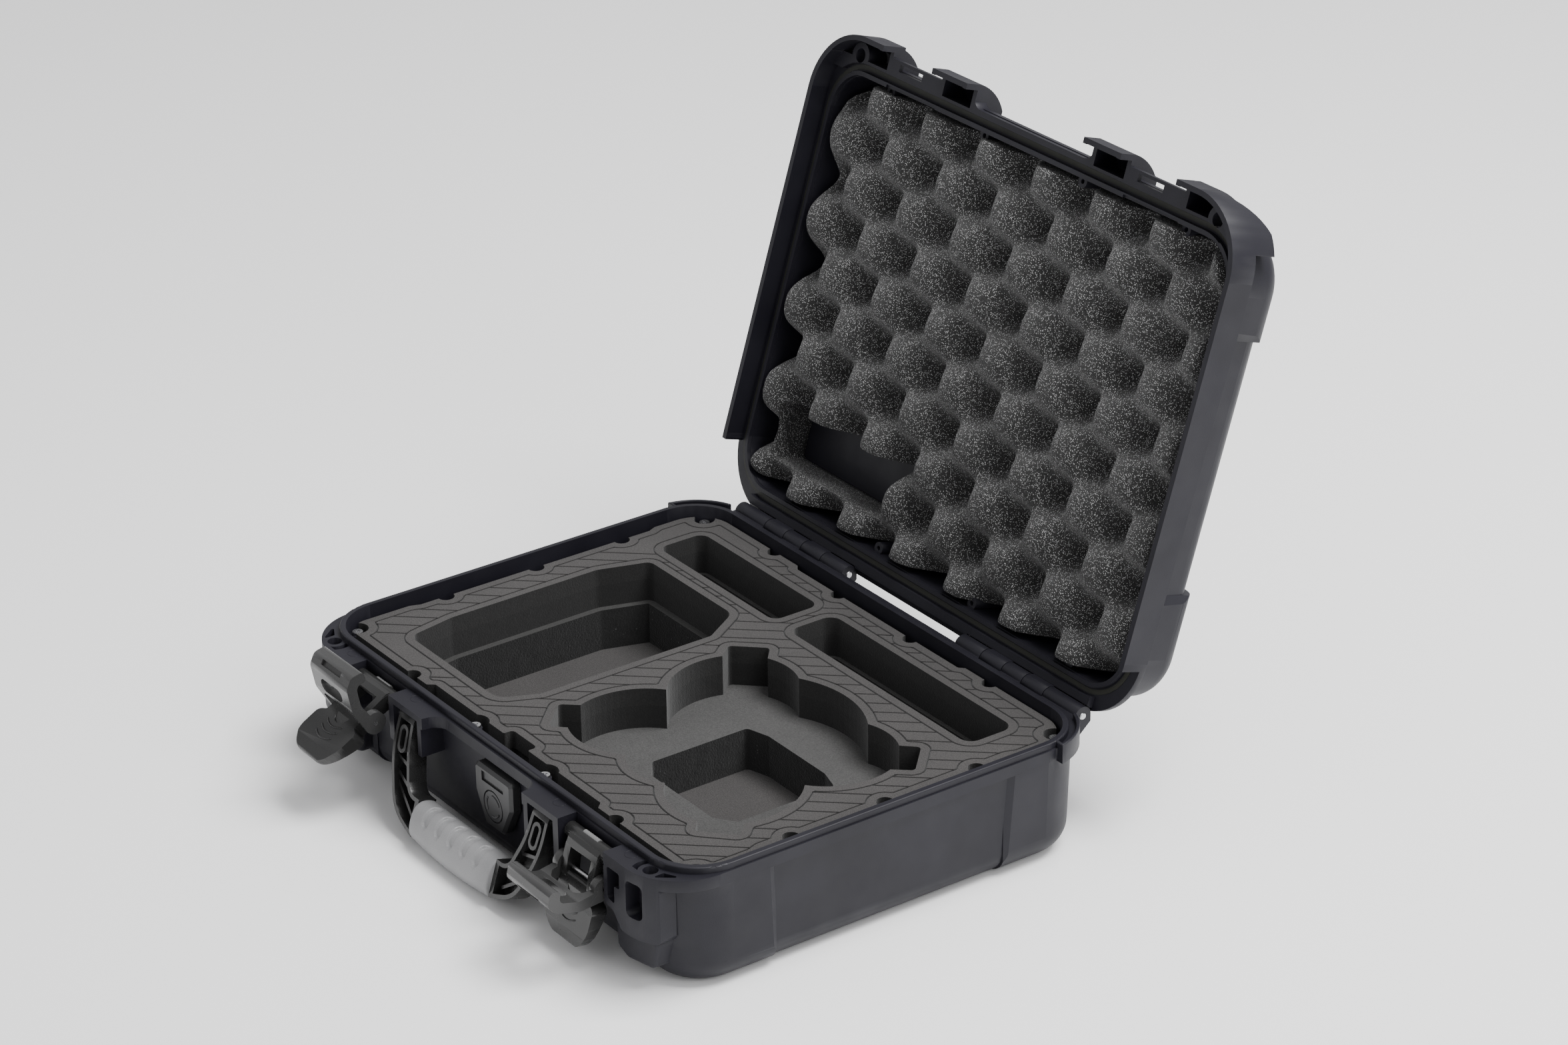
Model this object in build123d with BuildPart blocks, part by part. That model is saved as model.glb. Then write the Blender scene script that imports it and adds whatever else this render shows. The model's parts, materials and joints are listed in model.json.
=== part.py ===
"""Hard carrying case for a small drone: moulded base and lid, hinges, latches, handle, valve and foam.

Frame: millimetres, +Z up, -Y the front with the latches, +Y the hinges.
The origin is the centre of the underside of the base. The lid is modelled closed and stored open.
"""
from build123d import *
import os
from math import cos, radians, sin

os.makedirs("parts", exist_ok=True)

# ---- driving dimensions -------------------------------------------------------------------
# base tub
BODY_X, BODY_Y = 171.0, 126.5          # half sizes of the tub under the rim
BODY_R = 30.0                          # plan corner radius of the tub
DRAFT = 2.0                            # mould draft, degrees
PANEL_SINK = 2.0                       # depth of the sunk panels between the corner pads
RIM_LOW, RIM_TOP = 58.5, 65.0          # rim flange, lowest and highest
TONGUE_TOP = 68.5                      # sealing tongue
TONGUE_IN_X, TONGUE_IN_Y = 167.0, 122.0
TONGUE_IN_R = 26.0
TONGUE_T = 3.2
CAVITY_FLOOR = 4.0
# rim outline
RIM_X, RIM_FRONT, RIM_BACK = 171.2, 137.5, 131.0
RIM_FRONT_R, RIM_BACK_R = 33.2, 34.0
BAY_IN, BAY_OUT, BAY_BACK = 79.7, 119.5, 126.2     # latch bays, |x| limits and back wall
POST_IN = 75.0                         # inner face of the post between latch and handle
CHEEK_IN, CHEEK_OUT = 48.4, 52.0       # cheek on the middle side of each handle lug
POCKET_Y = 127.0                       # rim drawn back behind the handle
# lid
LID_GAP = 0.6                          # skirt to rim
SKIRT_T = 3.2
SKIRT_LOW = 57.0
SHOULDER_LOW, SHOULDER_TOP = 69.0, 73.0
LID_TOP = 98.5
LID_BULGE = 2.6                        # corner bulges stand proud of the lid panel
LID_WALL = 2.8
SKIRT_END_Y = 101.0                    # side skirts stop short of the hinge corners
# hinge
HINGE_Y, HINGE_Z = 135.2, 63.25
KNUCKLE_R, HINGE_PIN_R = 5.2, 2.0
LID_OPEN = 107.6                       # stored opening angle, degrees
BASE_KNUCKLES = ((50.0, 70.5), (89.0, 105.0), (123.0, 150.0))
LID_KNUCKLES = ((71.0, 88.5), (105.5, 122.5))
# latches
LATCH_X = 99.6                         # centre of each latch bay, |x|
LEVER_Y, LEVER_Z = -130.8, 58.0        # lever pivot
CLAW_DY, CLAW_DZ = -2.5, -16.0         # claw pivot from the lever pivot, lever shut
LATCH_HALF = 18.5                      # half width of lever and claw
CHEEK_HALF_IN, CHEEK_HALF_OUT = 9.0, 13.6
ARM_HALF_IN = 14.0                     # inner face of each claw arm
LEVER_PIN_R, CLAW_PIN_R = 1.5, 1.25
RUN = 0.05                             # radial running clearance of a pin
LEVER_ANGLE = {"left": -52.0, "right": -10.0}      # stored turn about +X from shut
CLAW_LEAN = {"left": 12.7, "right": 77.0}          # stored lean of the claw from upright, outward
# handle
HANDLE_Y, HANDLE_Z = -132.2, 55.5
HANDLE_ANGLE = -17.5                   # stored swing about +X from hanging straight down
HANDLE_PIN_R = 2.0
# foam
FOAM_TOP, FOAM_SEAM, FOAM_LEDGE, FOAM_FLOOR = 62.5, 52.5, 39.5, 15.5
FOAM_BOTTOM = 4.6
SIDES = (("left", -1), ("right", 1))


def swing_plane(x, y, z, angle):
    """Plane across X: its x axis points inward (+Y) and its y axis up, turned by angle about +X."""
    turn = radians(angle)
    return Plane(origin=(x, y, z), x_dir=(0, cos(turn), sin(turn)), z_dir=(1, 0, 0))


def front_plane(x, y, z, angle):
    """Plane facing the front: its x axis is +X and its y axis up, turned by angle about +X."""
    turn = radians(angle)
    return Plane(origin=(x, y, z), x_dir=(1, 0, 0), z_dir=(0, -cos(turn), -sin(turn)))


def tub(half_x, half_y, corner, mouth, floor, edge):
    """Drafted block, full size at the mouth and rounded round its floor."""
    facing = -1 if floor < mouth else 1
    with BuildPart() as block:
        with BuildSketch(Plane(origin=(0, 0, mouth), x_dir=(1, 0, 0), z_dir=(0, 0, facing))):
            RectangleRounded(2 * half_x, 2 * half_y, corner)
        extrude(amount=abs(mouth - floor), taper=DRAFT)
        far_face = block.faces().filter_by(Plane.XY).sort_by(Axis.Z)[0 if facing < 0 else -1]
        fillet(far_face.edges(), edge)
    return block.part


def corner_zones(side_front, side_back, end_x, low, high):
    """Four corner prisms with a sloping edge, which keep the full-size skin at the corners."""
    run, deep, far = 7.0, 4.0, 220.0
    with BuildPart() as zones:
        with BuildSketch(Plane.XY.offset(low)):
            for sx in (-1, 1):
                for sy, edge_y in ((-1, side_front), (1, side_back)):
                    side_x = BODY_X + 1
                    side_y = BODY_Y + 1
                    with BuildLine():
                        Polyline(
                            (sx * far, sy * far), (sx * far, sy * edge_y),
                            (sx * side_x, sy * edge_y), (sx * (side_x - deep), sy * (edge_y - run)),
                            (sx * (side_x - 30), sy * (edge_y - run)),
                            (sx * (side_x - 30), sy * (side_y - 12)),
                            (sx * (end_x - run), sy * (side_y - 12)),
                            (sx * (end_x - run), sy * (side_y - deep)), (sx * end_x, sy * side_y),
                            (sx * end_x, sy * far), close=True)
                    make_face()
        extrude(amount=high - low)
    return zones.part


def rim_outline(grow):
    """Plan of the rim, grown outward: large front corners, smaller ones at the hinges."""
    depth = RIM_FRONT + RIM_BACK + 2 * grow
    with BuildSketch() as outline:
        with Locations((0, (RIM_BACK - RIM_FRONT) / 2)):
            Rectangle(2 * (RIM_X + grow), depth)
        fillet(outline.vertices().group_by(Axis.Y)[0], RIM_FRONT_R + grow)
        fillet(outline.vertices().group_by(Axis.Y)[-1], RIM_BACK_R + grow)
    return outline.sketch


# ---- base shell ---------------------------------------------------------------------------
TONGUE_OUT_X = TONGUE_IN_X + TONGUE_T
TONGUE_OUT_Y = TONGUE_IN_Y + TONGUE_T
LOBE_X, LOBE_Y, LOBE_T = 175.4, 131.0, 1.8         # raised wall round each hinge corner
LOBE_START = 102.0
RING_X, RING_Y, RING_R, PADLOCK_R = 147.9, -128.9, 6.4, 3.9
FOOT_LOW, FOOT_HIGH = 8.0, 30.0
VALVE_X, VALVE_Z, VALVE_FACE, VALVE_STEM_R = 8.0, 36.5, 130.5, 6.0
BOSS_R, SCREW_R, BOSS_LOW, BOSS_TOP = 3.6, 1.3, 20.0, 59.0
# each boss: centre, direction of its web to the wall, and the web's reach
BOSSES = ((-32.4, -114.5, 0, 8), (32.4, -114.5, 0, 8), (-157.5, -109.5, -45, 5), (157.5, -109.5, 45, 5),
          (-155, 112.8, -135, 5), (155, 112.8, 135, 5))

pads = tub(BODY_X, BODY_Y, BODY_R, 60.0, 0.0, 15.0)
panels = tub(BODY_X - PANEL_SINK, BODY_Y - PANEL_SINK, BODY_R - PANEL_SINK, 60.0, 0.0, 14.0)
zones = corner_zones(77.0, 77.0, 125.0, -1.0, 62.0)
hollow = tub(TONGUE_IN_X, TONGUE_IN_Y, TONGUE_IN_R, TONGUE_TOP + 1, CAVITY_FLOOR, 11.0)

with BuildPart() as front_blocks:
    # brackets beside the latch bays, posts between latch and handle, and handle cheeks
    for side, sx in SIDES:
        with BuildSketch(Plane.XZ.offset(BODY_Y - 5)):
            with BuildLine():
                FilletPolyline(
                    (sx * BAY_OUT, RIM_LOW + 1), (sx * BAY_OUT, 37), (sx * 127, 36),
                    (sx * 134, 28), (sx * 158, 28), (sx * 158, RIM_LOW + 1), close=True, radius=3)
            make_face()
            with Locations((sx * (POST_IN + BAY_IN) / 2, 49.5)):
                Rectangle(BAY_IN - POST_IN, 19)
            with Locations((sx * (CHEEK_IN + CHEEK_OUT) / 2, 50.5)):
                Rectangle(CHEEK_OUT - CHEEK_IN, 17)
        extrude(amount=RIM_FRONT - BODY_Y + 5)
    with BuildSketch(Plane.XY.offset(RIM_LOW)):
        add(rim_outline(0))
    extrude(amount=-40, mode=Mode.INTERSECT)

with BuildPart() as feet:
    # rounded feet low on the front, under the brackets
    for side, sx in SIDES:
        with BuildSketch(Plane.XZ.offset(BODY_Y - 8)):
            with BuildLine():
                FilletPolyline(
                    (sx * 119.5, FOOT_HIGH), (sx * 121, FOOT_LOW + 3), (sx * 130, FOOT_LOW),
                    (sx * 152, FOOT_LOW + 4), (sx * 156, FOOT_HIGH), close=True, radius=4)
            make_face()
        extrude(amount=13.5)
    fillet(feet.faces().filter_by(Plane.XZ).group_by(Axis.Y)[0].edges(), 2.5)

with BuildPart() as base_shell:
    add(panels)
    add(pads & zones)
    with BuildSketch(Plane.XY.offset(RIM_LOW)):
        add(rim_outline(0))
        for side, sx in SIDES:
            with Locations((sx * LATCH_X, -BAY_BACK - 20)):
                Rectangle(BAY_OUT - BAY_IN, 40, mode=Mode.SUBTRACT)
        with BuildLine():
            FilletPolyline(
                (-CHEEK_IN, -RIM_FRONT - 9), (-CHEEK_IN + 3, -POCKET_Y), (CHEEK_IN - 3, -POCKET_Y),
                (CHEEK_IN, -RIM_FRONT - 9), close=True, radius=8)
        make_face(mode=Mode.SUBTRACT)
    extrude(amount=RIM_TOP - RIM_LOW)
    add(front_blocks.part)
    add(feet.part)
    # walls round the hinge corners
    with BuildSketch(Plane.XY.offset(57.6)):
        RectangleRounded(2 * LOBE_X, 2 * LOBE_Y, BODY_R + 5)
        with Locations((0, -60)):
            Rectangle(400, 2 * (LOBE_START + 60), mode=Mode.SUBTRACT)
        Rectangle(2 * 152.0, 400, mode=Mode.SUBTRACT)
    extrude(amount=TONGUE_TOP - 57.6)
    with BuildSketch(Plane.XY.offset(RIM_TOP)):
        RectangleRounded(2 * (LOBE_X - LOBE_T), 2 * (LOBE_Y - LOBE_T), BODY_R + 5 - LOBE_T)
        with Locations((0, -60)):
            Rectangle(400, 2 * (LOBE_START + LOBE_T + 60), mode=Mode.SUBTRACT)
    extrude(amount=10, mode=Mode.SUBTRACT)
    # tongue
    with BuildSketch(Plane.XY.offset(RIM_LOW)):
        RectangleRounded(2 * TONGUE_OUT_X, 2 * TONGUE_OUT_Y, TONGUE_IN_R + TONGUE_T)
    extrude(amount=TONGUE_TOP - RIM_LOW)
    # hinge knuckles and their webs
    for side, sx in SIDES:
        for x_in, x_out in BASE_KNUCKLES:
            with BuildSketch(Plane.YZ.offset(sx * (x_in + x_out) / 2)):
                with Locations((HINGE_Y, HINGE_Z)):
                    Circle(KNUCKLE_R)
                with BuildLine():
                    Polyline(
                        (BODY_Y - 4, RIM_TOP), (BODY_Y - 4, 47), (BODY_Y, 47), (HINGE_Y + KNUCKLE_R, 59),
                        (HINGE_Y + KNUCKLE_R, HINGE_Z), (HINGE_Y, RIM_TOP), close=True)
                make_face()
            extrude(amount=(x_out - x_in) / 2, both=True)
        for x_in, x_out in LID_KNUCKLES:
            with Locations(Location((sx * (x_in + x_out) / 2, HINGE_Y, HINGE_Z), (0, 90, 0))):
                Cylinder(KNUCKLE_R + 0.7, x_out - x_in + 1.0, mode=Mode.SUBTRACT)
        with Locations(Location((sx * 100, HINGE_Y, HINGE_Z), (0, 90, 0))):
            Cylinder(HINGE_PIN_R, 104, mode=Mode.SUBTRACT)
    add(hollow, mode=Mode.SUBTRACT)
    # padlock rings: a bore with a curved slot on one side and a wedge pocket on the other
    for side, sx in SIDES:
        with BuildSketch(Plane.XY.offset(RIM_TOP)):
            with Locations((sx * RING_X, RING_Y)):
                Circle(RING_R + 3.4)
                Circle(RING_R, mode=Mode.SUBTRACT)
            with Locations((sx * (RING_X + 14), RING_Y), (sx * RING_X, RING_Y - 11)):
                Rectangle(24, 12, mode=Mode.SUBTRACT)
            with Locations((sx * RING_X, RING_Y + 12)):
                Rectangle(40, 17, mode=Mode.SUBTRACT)
            with BuildLine():
                FilletPolyline(
                    (sx * (RING_X + RING_R - 0.5), RING_Y - 3.5), (sx * (RING_X + RING_R - 0.5), RING_Y + 3.4),
                    (sx * (RING_X + 15), RING_Y + 8.2), close=True, radius=0.8)
            make_face()
        extrude(amount=-5, mode=Mode.SUBTRACT)
        with Locations((sx * RING_X, RING_Y, RIM_TOP)):
            Hole(PADLOCK_R, depth=7.0)
        # bracket: hook pocket beside the bay and a round-bottomed slot
        with BuildSketch(Plane.XZ.offset(RIM_FRONT + 1)):
            with BuildLine():
                FilletPolyline(
                    (sx * 122.6, RIM_LOW), (sx * 122.6, 41), (sx * 128.5, 40), (sx * 128.5, 50),
                    (sx * 133, 50), (sx * 133, RIM_LOW), close=True, radius=1.2)
            make_face()
            with BuildLine():
                FilletPolyline(
                    (sx * 138.5, RIM_LOW), (sx * 138.5, 39), (sx * 149.5, 39), (sx * 149.5, RIM_LOW),
                    close=True, radius=3)
            make_face()
        extrude(amount=-9, mode=Mode.SUBTRACT)
        # pin bores of the latch and the handle
        with Locations(Location((sx * LATCH_X, LEVER_Y, LEVER_Z), (0, 90, 0))):
            Cylinder(LEVER_PIN_R, 2 * (LATCH_HALF + 4), mode=Mode.SUBTRACT)
        with Locations(Location((sx * 63, HANDLE_Y, HANDLE_Z), (0, 90, 0))):
            Cylinder(HANDLE_PIN_R, 2 * 14, mode=Mode.SUBTRACT)
        # handle lug pocket under the rim
        with Locations((sx * (CHEEK_OUT + POST_IN) / 2, -POCKET_Y + 0.6, 61.5)):
            Box(POST_IN - CHEEK_OUT, 30, 24, align=(Align.CENTER, Align.MAX, Align.MAX),
                mode=Mode.SUBTRACT)
    with Locations(Location((VALVE_X, -BODY_Y, VALVE_Z), (90, 0, 0))):
        Cylinder(VALVE_STEM_R, 24, mode=Mode.SUBTRACT)
    # screw bosses, each on a web to its wall: a front pair and one in each corner
    for x, y, turn, reach in BOSSES:
        with Locations(Location((x, y, BOSS_TOP), (0, 0, turn))):
            Box(2.4, reach, BOSS_TOP - BOSS_LOW, align=(Align.CENTER, Align.MAX, Align.MAX))
            Cylinder(BOSS_R, BOSS_TOP - BOSS_LOW, align=(Align.CENTER, Align.CENTER, Align.MAX))
            Hole(SCREW_R, depth=BOSS_TOP - BOSS_LOW - 3)
    fillet(base_shell.faces().filter_by(Plane.XY).sort_by(Axis.Z)[-1].outer_wire().edges(), 0.8)
base_shell.part.label = "base_shell"
export_step(base_shell.part, "parts/base_shell.step")

# ---- lid shell, modelled closed ------------------------------------------------------------
SKIRT_IN = LID_GAP
SKIRT_OUT = LID_GAP + SKIRT_T
SEAL_IN, SEAL_OUT = 0.4, 2.9           # seal, measured outward from the tongue's inner face
STRIKE_Y, STRIKE_Z = 135.2, 65.4       # strike shelf, front edge and underside
BROW_ARC_Z, BROW_TOP = 68.0, 86.0      # the front boxes round over between these heights

lid_pads = tub(BODY_X, BODY_Y, BODY_R, SHOULDER_LOW, LID_TOP + LID_BULGE, 12.0)
lid_panels = tub(BODY_X - LID_BULGE, BODY_Y - LID_BULGE, BODY_R - 2, SHOULDER_LOW, LID_TOP, 11.0)
lid_zones = corner_zones(80.0, 69.0, 112.0, 60.0, 120.0)
lid_hollow = tub(TONGUE_IN_X - 3.0, TONGUE_IN_Y - 3.0, TONGUE_IN_R - 3, 60.0, LID_TOP - LID_WALL, 9.0)


def brow_blocks(inset):
    """Rounded boxes on the front of the lid beside the latch bays, drawn in by inset for the hollow."""
    front = -(RIM_FRONT + SKIRT_OUT)
    back = -BODY_Y + (8 if inset == 0 else -1)
    with BuildPart() as brow:
        with BuildSketch(Plane.YZ) as profile:
            with BuildLine():
                Line((front + inset, SKIRT_LOW - 10), (front + inset, BROW_ARC_Z))
                ThreePointArc(
                    (front + inset, BROW_ARC_Z), (front + 5.2 + 0.75 * inset, 79.3 - 0.7 * inset),
                    (front + 13.0, BROW_TOP - inset))
                Polyline(
                    (front + 13.0, BROW_TOP - inset), (back, BROW_TOP - inset),
                    (back, SKIRT_LOW - 10), (front + inset, SKIRT_LOW - 10))
            make_face()
        extrude(amount=180, both=True)
        with BuildSketch(Plane.XY.offset(SKIRT_LOW if inset == 0 else SKIRT_LOW - 5)):
            add(rim_outline(SKIRT_OUT - inset))
        extrude(amount=60, mode=Mode.INTERSECT)
        with BuildSketch(Plane.XY.offset(40)):
            for side, sx in SIDES:
                with Locations((sx * (CHEEK_IN + BAY_IN - 1.6) / 2, -130)):
                    Rectangle(BAY_IN - 1.6 - CHEEK_IN - 2 * inset, 50)
                with Locations((sx * (BAY_OUT + 1.6 + 172) / 2, -130)):
                    Rectangle(172 - BAY_OUT - 1.6 - 2 * inset, 50)
        extrude(amount=80, mode=Mode.INTERSECT)
        # the outer boxes slope down to the shoulder before the corners
        with BuildSketch(Plane.XZ):
            with BuildLine():
                for sx in (-1, 1):
                    Polyline((sx * 135, BROW_TOP + 4), (sx * 135, BROW_TOP - inset),
                             (sx * 151, SHOULDER_TOP - inset), (sx * 178, SHOULDER_TOP - inset),
                             (sx * 178, BROW_TOP + 4), close=True)
            make_face()
        extrude(amount=180, both=True, mode=Mode.SUBTRACT)
    return brow.part


brow_outer = brow_blocks(0.0)
brow_inner = brow_blocks(SKIRT_T - 0.3)

with BuildPart() as lid_closed:
    add(lid_panels)
    add(lid_pads & lid_zones)
    # shoulder and side skirts
    with BuildSketch(Plane.XY.offset(SHOULDER_LOW)):
        add(rim_outline(SKIRT_OUT))
        with Locations((0, -RIM_FRONT)):
            Rectangle(2 * (BAY_OUT + 2), 2 * (RIM_FRONT - BODY_Y - 3), mode=Mode.SUBTRACT)
    extrude(amount=SHOULDER_TOP - SHOULDER_LOW)
    with BuildSketch(Plane.XY.offset(SKIRT_LOW)):
        add(rim_outline(SKIRT_OUT))
        add(rim_outline(SKIRT_IN), mode=Mode.SUBTRACT)
        with Locations((0, SKIRT_END_Y + 50)):
            Rectangle(400, 100, mode=Mode.SUBTRACT)
        with Locations((0, -RIM_FRONT)):
            Rectangle(2 * (BAY_OUT + 1.6), 60, mode=Mode.SUBTRACT)
    extrude(amount=SHOULDER_LOW - SKIRT_LOW)
    add(brow_outer)
    # curved lip behind the handle
    with BuildSketch(Plane.XY.offset(RIM_TOP + 0.4)) as lip:
        with BuildLine():
            FilletPolyline(
                (-CHEEK_IN - 6, -RIM_FRONT - SKIRT_OUT), (-CHEEK_IN + 2, -POCKET_Y - 2),
                (CHEEK_IN - 2, -POCKET_Y - 2), (CHEEK_IN + 6, -RIM_FRONT - SKIRT_OUT),
                (CHEEK_IN + 6, -BODY_Y + 10), (-CHEEK_IN - 6, -BODY_Y + 10), close=True,
                radius=[1, 7, 7, 1, 1, 1])
        make_face()
    extrude(amount=SHOULDER_TOP - RIM_TOP)
    # back rim over the hinge
    with BuildSketch(Plane.XY.offset(RIM_TOP + 0.4)):
        with Locations((0, RIM_BACK - 3.5)):
            Rectangle(2 * 149, 7)
    extrude(amount=SHOULDER_TOP - RIM_TOP)
    add(brow_inner, mode=Mode.SUBTRACT)
    # room for the base's rim
    with BuildSketch(Plane.XY.offset(SKIRT_LOW - 5)):
        add(rim_outline(SKIRT_IN))
    extrude(amount=RIM_TOP + 0.4 - SKIRT_LOW + 5, mode=Mode.SUBTRACT)
    # padlock bosses, and a strike shelf in each latch bay, slotted, with a raised lip
    for side, sx in SIDES:
        with Locations((sx * RING_X, RING_Y, RIM_TOP + 0.4)):
            Cylinder(RING_R + 0.8, 17, align=(Align.CENTER, Align.CENTER, Align.MIN))
        with Locations((sx * RING_X, RING_Y, SKIRT_LOW)):
            Cylinder(PADLOCK_R, 60, mode=Mode.SUBTRACT)
        with Locations((sx * LATCH_X, -STRIKE_Y, STRIKE_Z)):
            Box(BAY_OUT - BAY_IN + 4, STRIKE_Y - BODY_Y + 6, 2.8, align=(Align.CENTER, Align.MIN, Align.MIN))
        with Locations((sx * LATCH_X - 4.5, -STRIKE_Y + 3.8, STRIKE_Z + 1.4)):
            Box(20, 4.0, 4, mode=Mode.SUBTRACT)
    add(lid_hollow, mode=Mode.SUBTRACT)
    # inner lip and seal groove
    with BuildSketch(Plane.XY.offset(66.5)):
        RectangleRounded(2 * (TONGUE_IN_X - 0.7), 2 * (TONGUE_IN_Y - 0.7), TONGUE_IN_R - 0.7)
        RectangleRounded(2 * (TONGUE_IN_X - 3.0), 2 * (TONGUE_IN_Y - 3.0), TONGUE_IN_R - 3, mode=Mode.SUBTRACT)
    extrude(amount=4)
    with BuildSketch(Plane.XY.offset(60)):
        RectangleRounded(2 * (TONGUE_OUT_X + 0.6), 2 * (TONGUE_OUT_Y + 0.6), TONGUE_IN_R + TONGUE_T + 0.6)
        RectangleRounded(2 * (TONGUE_IN_X - 0.7), 2 * (TONGUE_IN_Y - 0.7), TONGUE_IN_R - 0.7, mode=Mode.SUBTRACT)
    extrude(amount=SHOULDER_LOW - 60, mode=Mode.SUBTRACT)
    with BuildSketch(Plane.XY.offset(60)):
        RectangleRounded(2 * (TONGUE_IN_X + SEAL_OUT), 2 * (TONGUE_IN_Y + SEAL_OUT), TONGUE_IN_R + SEAL_OUT)
        RectangleRounded(2 * (TONGUE_IN_X + SEAL_IN), 2 * (TONGUE_IN_Y + SEAL_IN), TONGUE_IN_R + SEAL_IN,
                         mode=Mode.SUBTRACT)
    extrude(amount=71.4 - 60, mode=Mode.SUBTRACT)
    # hinge knuckles hang from the back rim, which is relieved over the base knuckles
    for side, sx in SIDES:
        for x_in, x_out in BASE_KNUCKLES:
            with Locations(Location((sx * (x_in + x_out) / 2, HINGE_Y, HINGE_Z), (0, 90, 0))):
                Cylinder(KNUCKLE_R + 0.5, x_out - x_in + 1.0, mode=Mode.SUBTRACT)
        for x_in, x_out in LID_KNUCKLES:
            with BuildSketch(Plane.YZ.offset(sx * (x_in + x_out) / 2)):
                with Locations((HINGE_Y, HINGE_Z)):
                    Circle(KNUCKLE_R)
                with BuildLine():
                    Polyline(
                        (HINGE_Y - KNUCKLE_R, HINGE_Z), (HINGE_Y - KNUCKLE_R, SHOULDER_TOP - 1),
                        (HINGE_Y - 1, SHOULDER_TOP - 1), (HINGE_Y + KNUCKLE_R, SHOULDER_TOP - 5),
                        (HINGE_Y + KNUCKLE_R, HINGE_Z), close=True)
                make_face()
            extrude(amount=(x_out - x_in) / 2, both=True)
        with Locations(Location((sx * 100, HINGE_Y, HINGE_Z), (0, 90, 0))):
            Cylinder(HINGE_PIN_R + RUN, 104, mode=Mode.SUBTRACT)
    # screw bosses inside the front and back walls
    with Locations(*[(sx * bx, sy * 116.2, 84) for bx in (40.9, 122.6) for sx in (-1, 1) for sy in (-1, 1)]):
        Cylinder(3.4, 26)
        Cylinder(1.3, 26, mode=Mode.SUBTRACT)

with BuildPart() as seal_closed:
    with BuildSketch(Plane.XY.offset(TONGUE_TOP + 0.15)):
        RectangleRounded(2 * (TONGUE_IN_X + SEAL_OUT), 2 * (TONGUE_IN_Y + SEAL_OUT), TONGUE_IN_R + SEAL_OUT)
        RectangleRounded(2 * (TONGUE_IN_X + SEAL_IN), 2 * (TONGUE_IN_Y + SEAL_IN), TONGUE_IN_R + SEAL_IN,
                         mode=Mode.SUBTRACT)
    extrude(amount=71.4 - TONGUE_TOP - 0.15)

# foam liner of the lid, its outline 3 mm inside the walls, with one cut-out
LID_FOAM_X, LID_FOAM_Y, LID_FOAM_LOW = 160.5, 116.0, 64.5
CUT_OUT = ((-148.0, 69.0), (-40.0, 102.0))
with BuildPart() as foam_closed:
    with BuildSketch(Plane.XY.offset(LID_FOAM_LOW)):
        RectangleRounded(2 * LID_FOAM_X, 2 * LID_FOAM_Y, 18)
        with Locations(((CUT_OUT[0][0] + CUT_OUT[1][0]) / 2, (CUT_OUT[0][1] + CUT_OUT[1][1]) / 2)):
            RectangleRounded(CUT_OUT[1][0] - CUT_OUT[0][0], CUT_OUT[1][1] - CUT_OUT[0][1], 4,
                             mode=Mode.SUBTRACT)
    extrude(amount=LID_TOP - LID_WALL - LID_FOAM_LOW)
    chamfer(foam_closed.faces().sort_by(Axis.Z)[-1].outer_wire().edges(), 7)
    with Locations(*[(sx * bx, sy * 116.2, 84) for bx in (40.9, 122.6) for sx in (-1, 1) for sy in (-1, 1)]):
        Cylinder(4.2, 60, mode=Mode.SUBTRACT)

# the lid's pieces are stored open on the hinge line
hinge_line = Axis((0, HINGE_Y, HINGE_Z), (1, 0, 0))
for name, closed in (("lid_shell", lid_closed), ("lid_seal", seal_closed), ("lid_foam", foam_closed)):
    opened = closed.part.rotate(hinge_line, -LID_OPEN)
    opened.label = name
    export_step(opened, f"parts/{name}.step")

# ---- pins ---------------------------------------------------------------------------------
for side, sx in SIDES:
    with BuildPart() as hinge_pin:
        with Locations(Location((sx * 100, HINGE_Y, HINGE_Z), (0, 90, 0))):
            Cylinder(HINGE_PIN_R, 101)
        chamfer(hinge_pin.edges().filter_by(GeomType.CIRCLE), 0.4)
    hinge_pin.part.label = f"hinge_pin_{side}"
    export_step(hinge_pin.part, f"parts/hinge_pin_{side}.step")
    with BuildPart() as latch_pin:
        with Locations(Location((sx * LATCH_X, LEVER_Y, LEVER_Z), (0, 90, 0))):
            Cylinder(LEVER_PIN_R, 2 * (LATCH_HALF + 3.6))
    latch_pin.part.label = f"latch_pin_{side}"
    export_step(latch_pin.part, f"parts/latch_pin_{side}.step")
    with BuildPart() as handle_pin:
        with Locations(Location((sx * 63, HANDLE_Y, HANDLE_Z), (0, 90, 0))):
            Cylinder(HANDLE_PIN_R, 2 * 13.6)
    handle_pin.part.label = f"handle_pin_{side}"
    export_step(handle_pin.part, f"parts/handle_pin_{side}.step")

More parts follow.
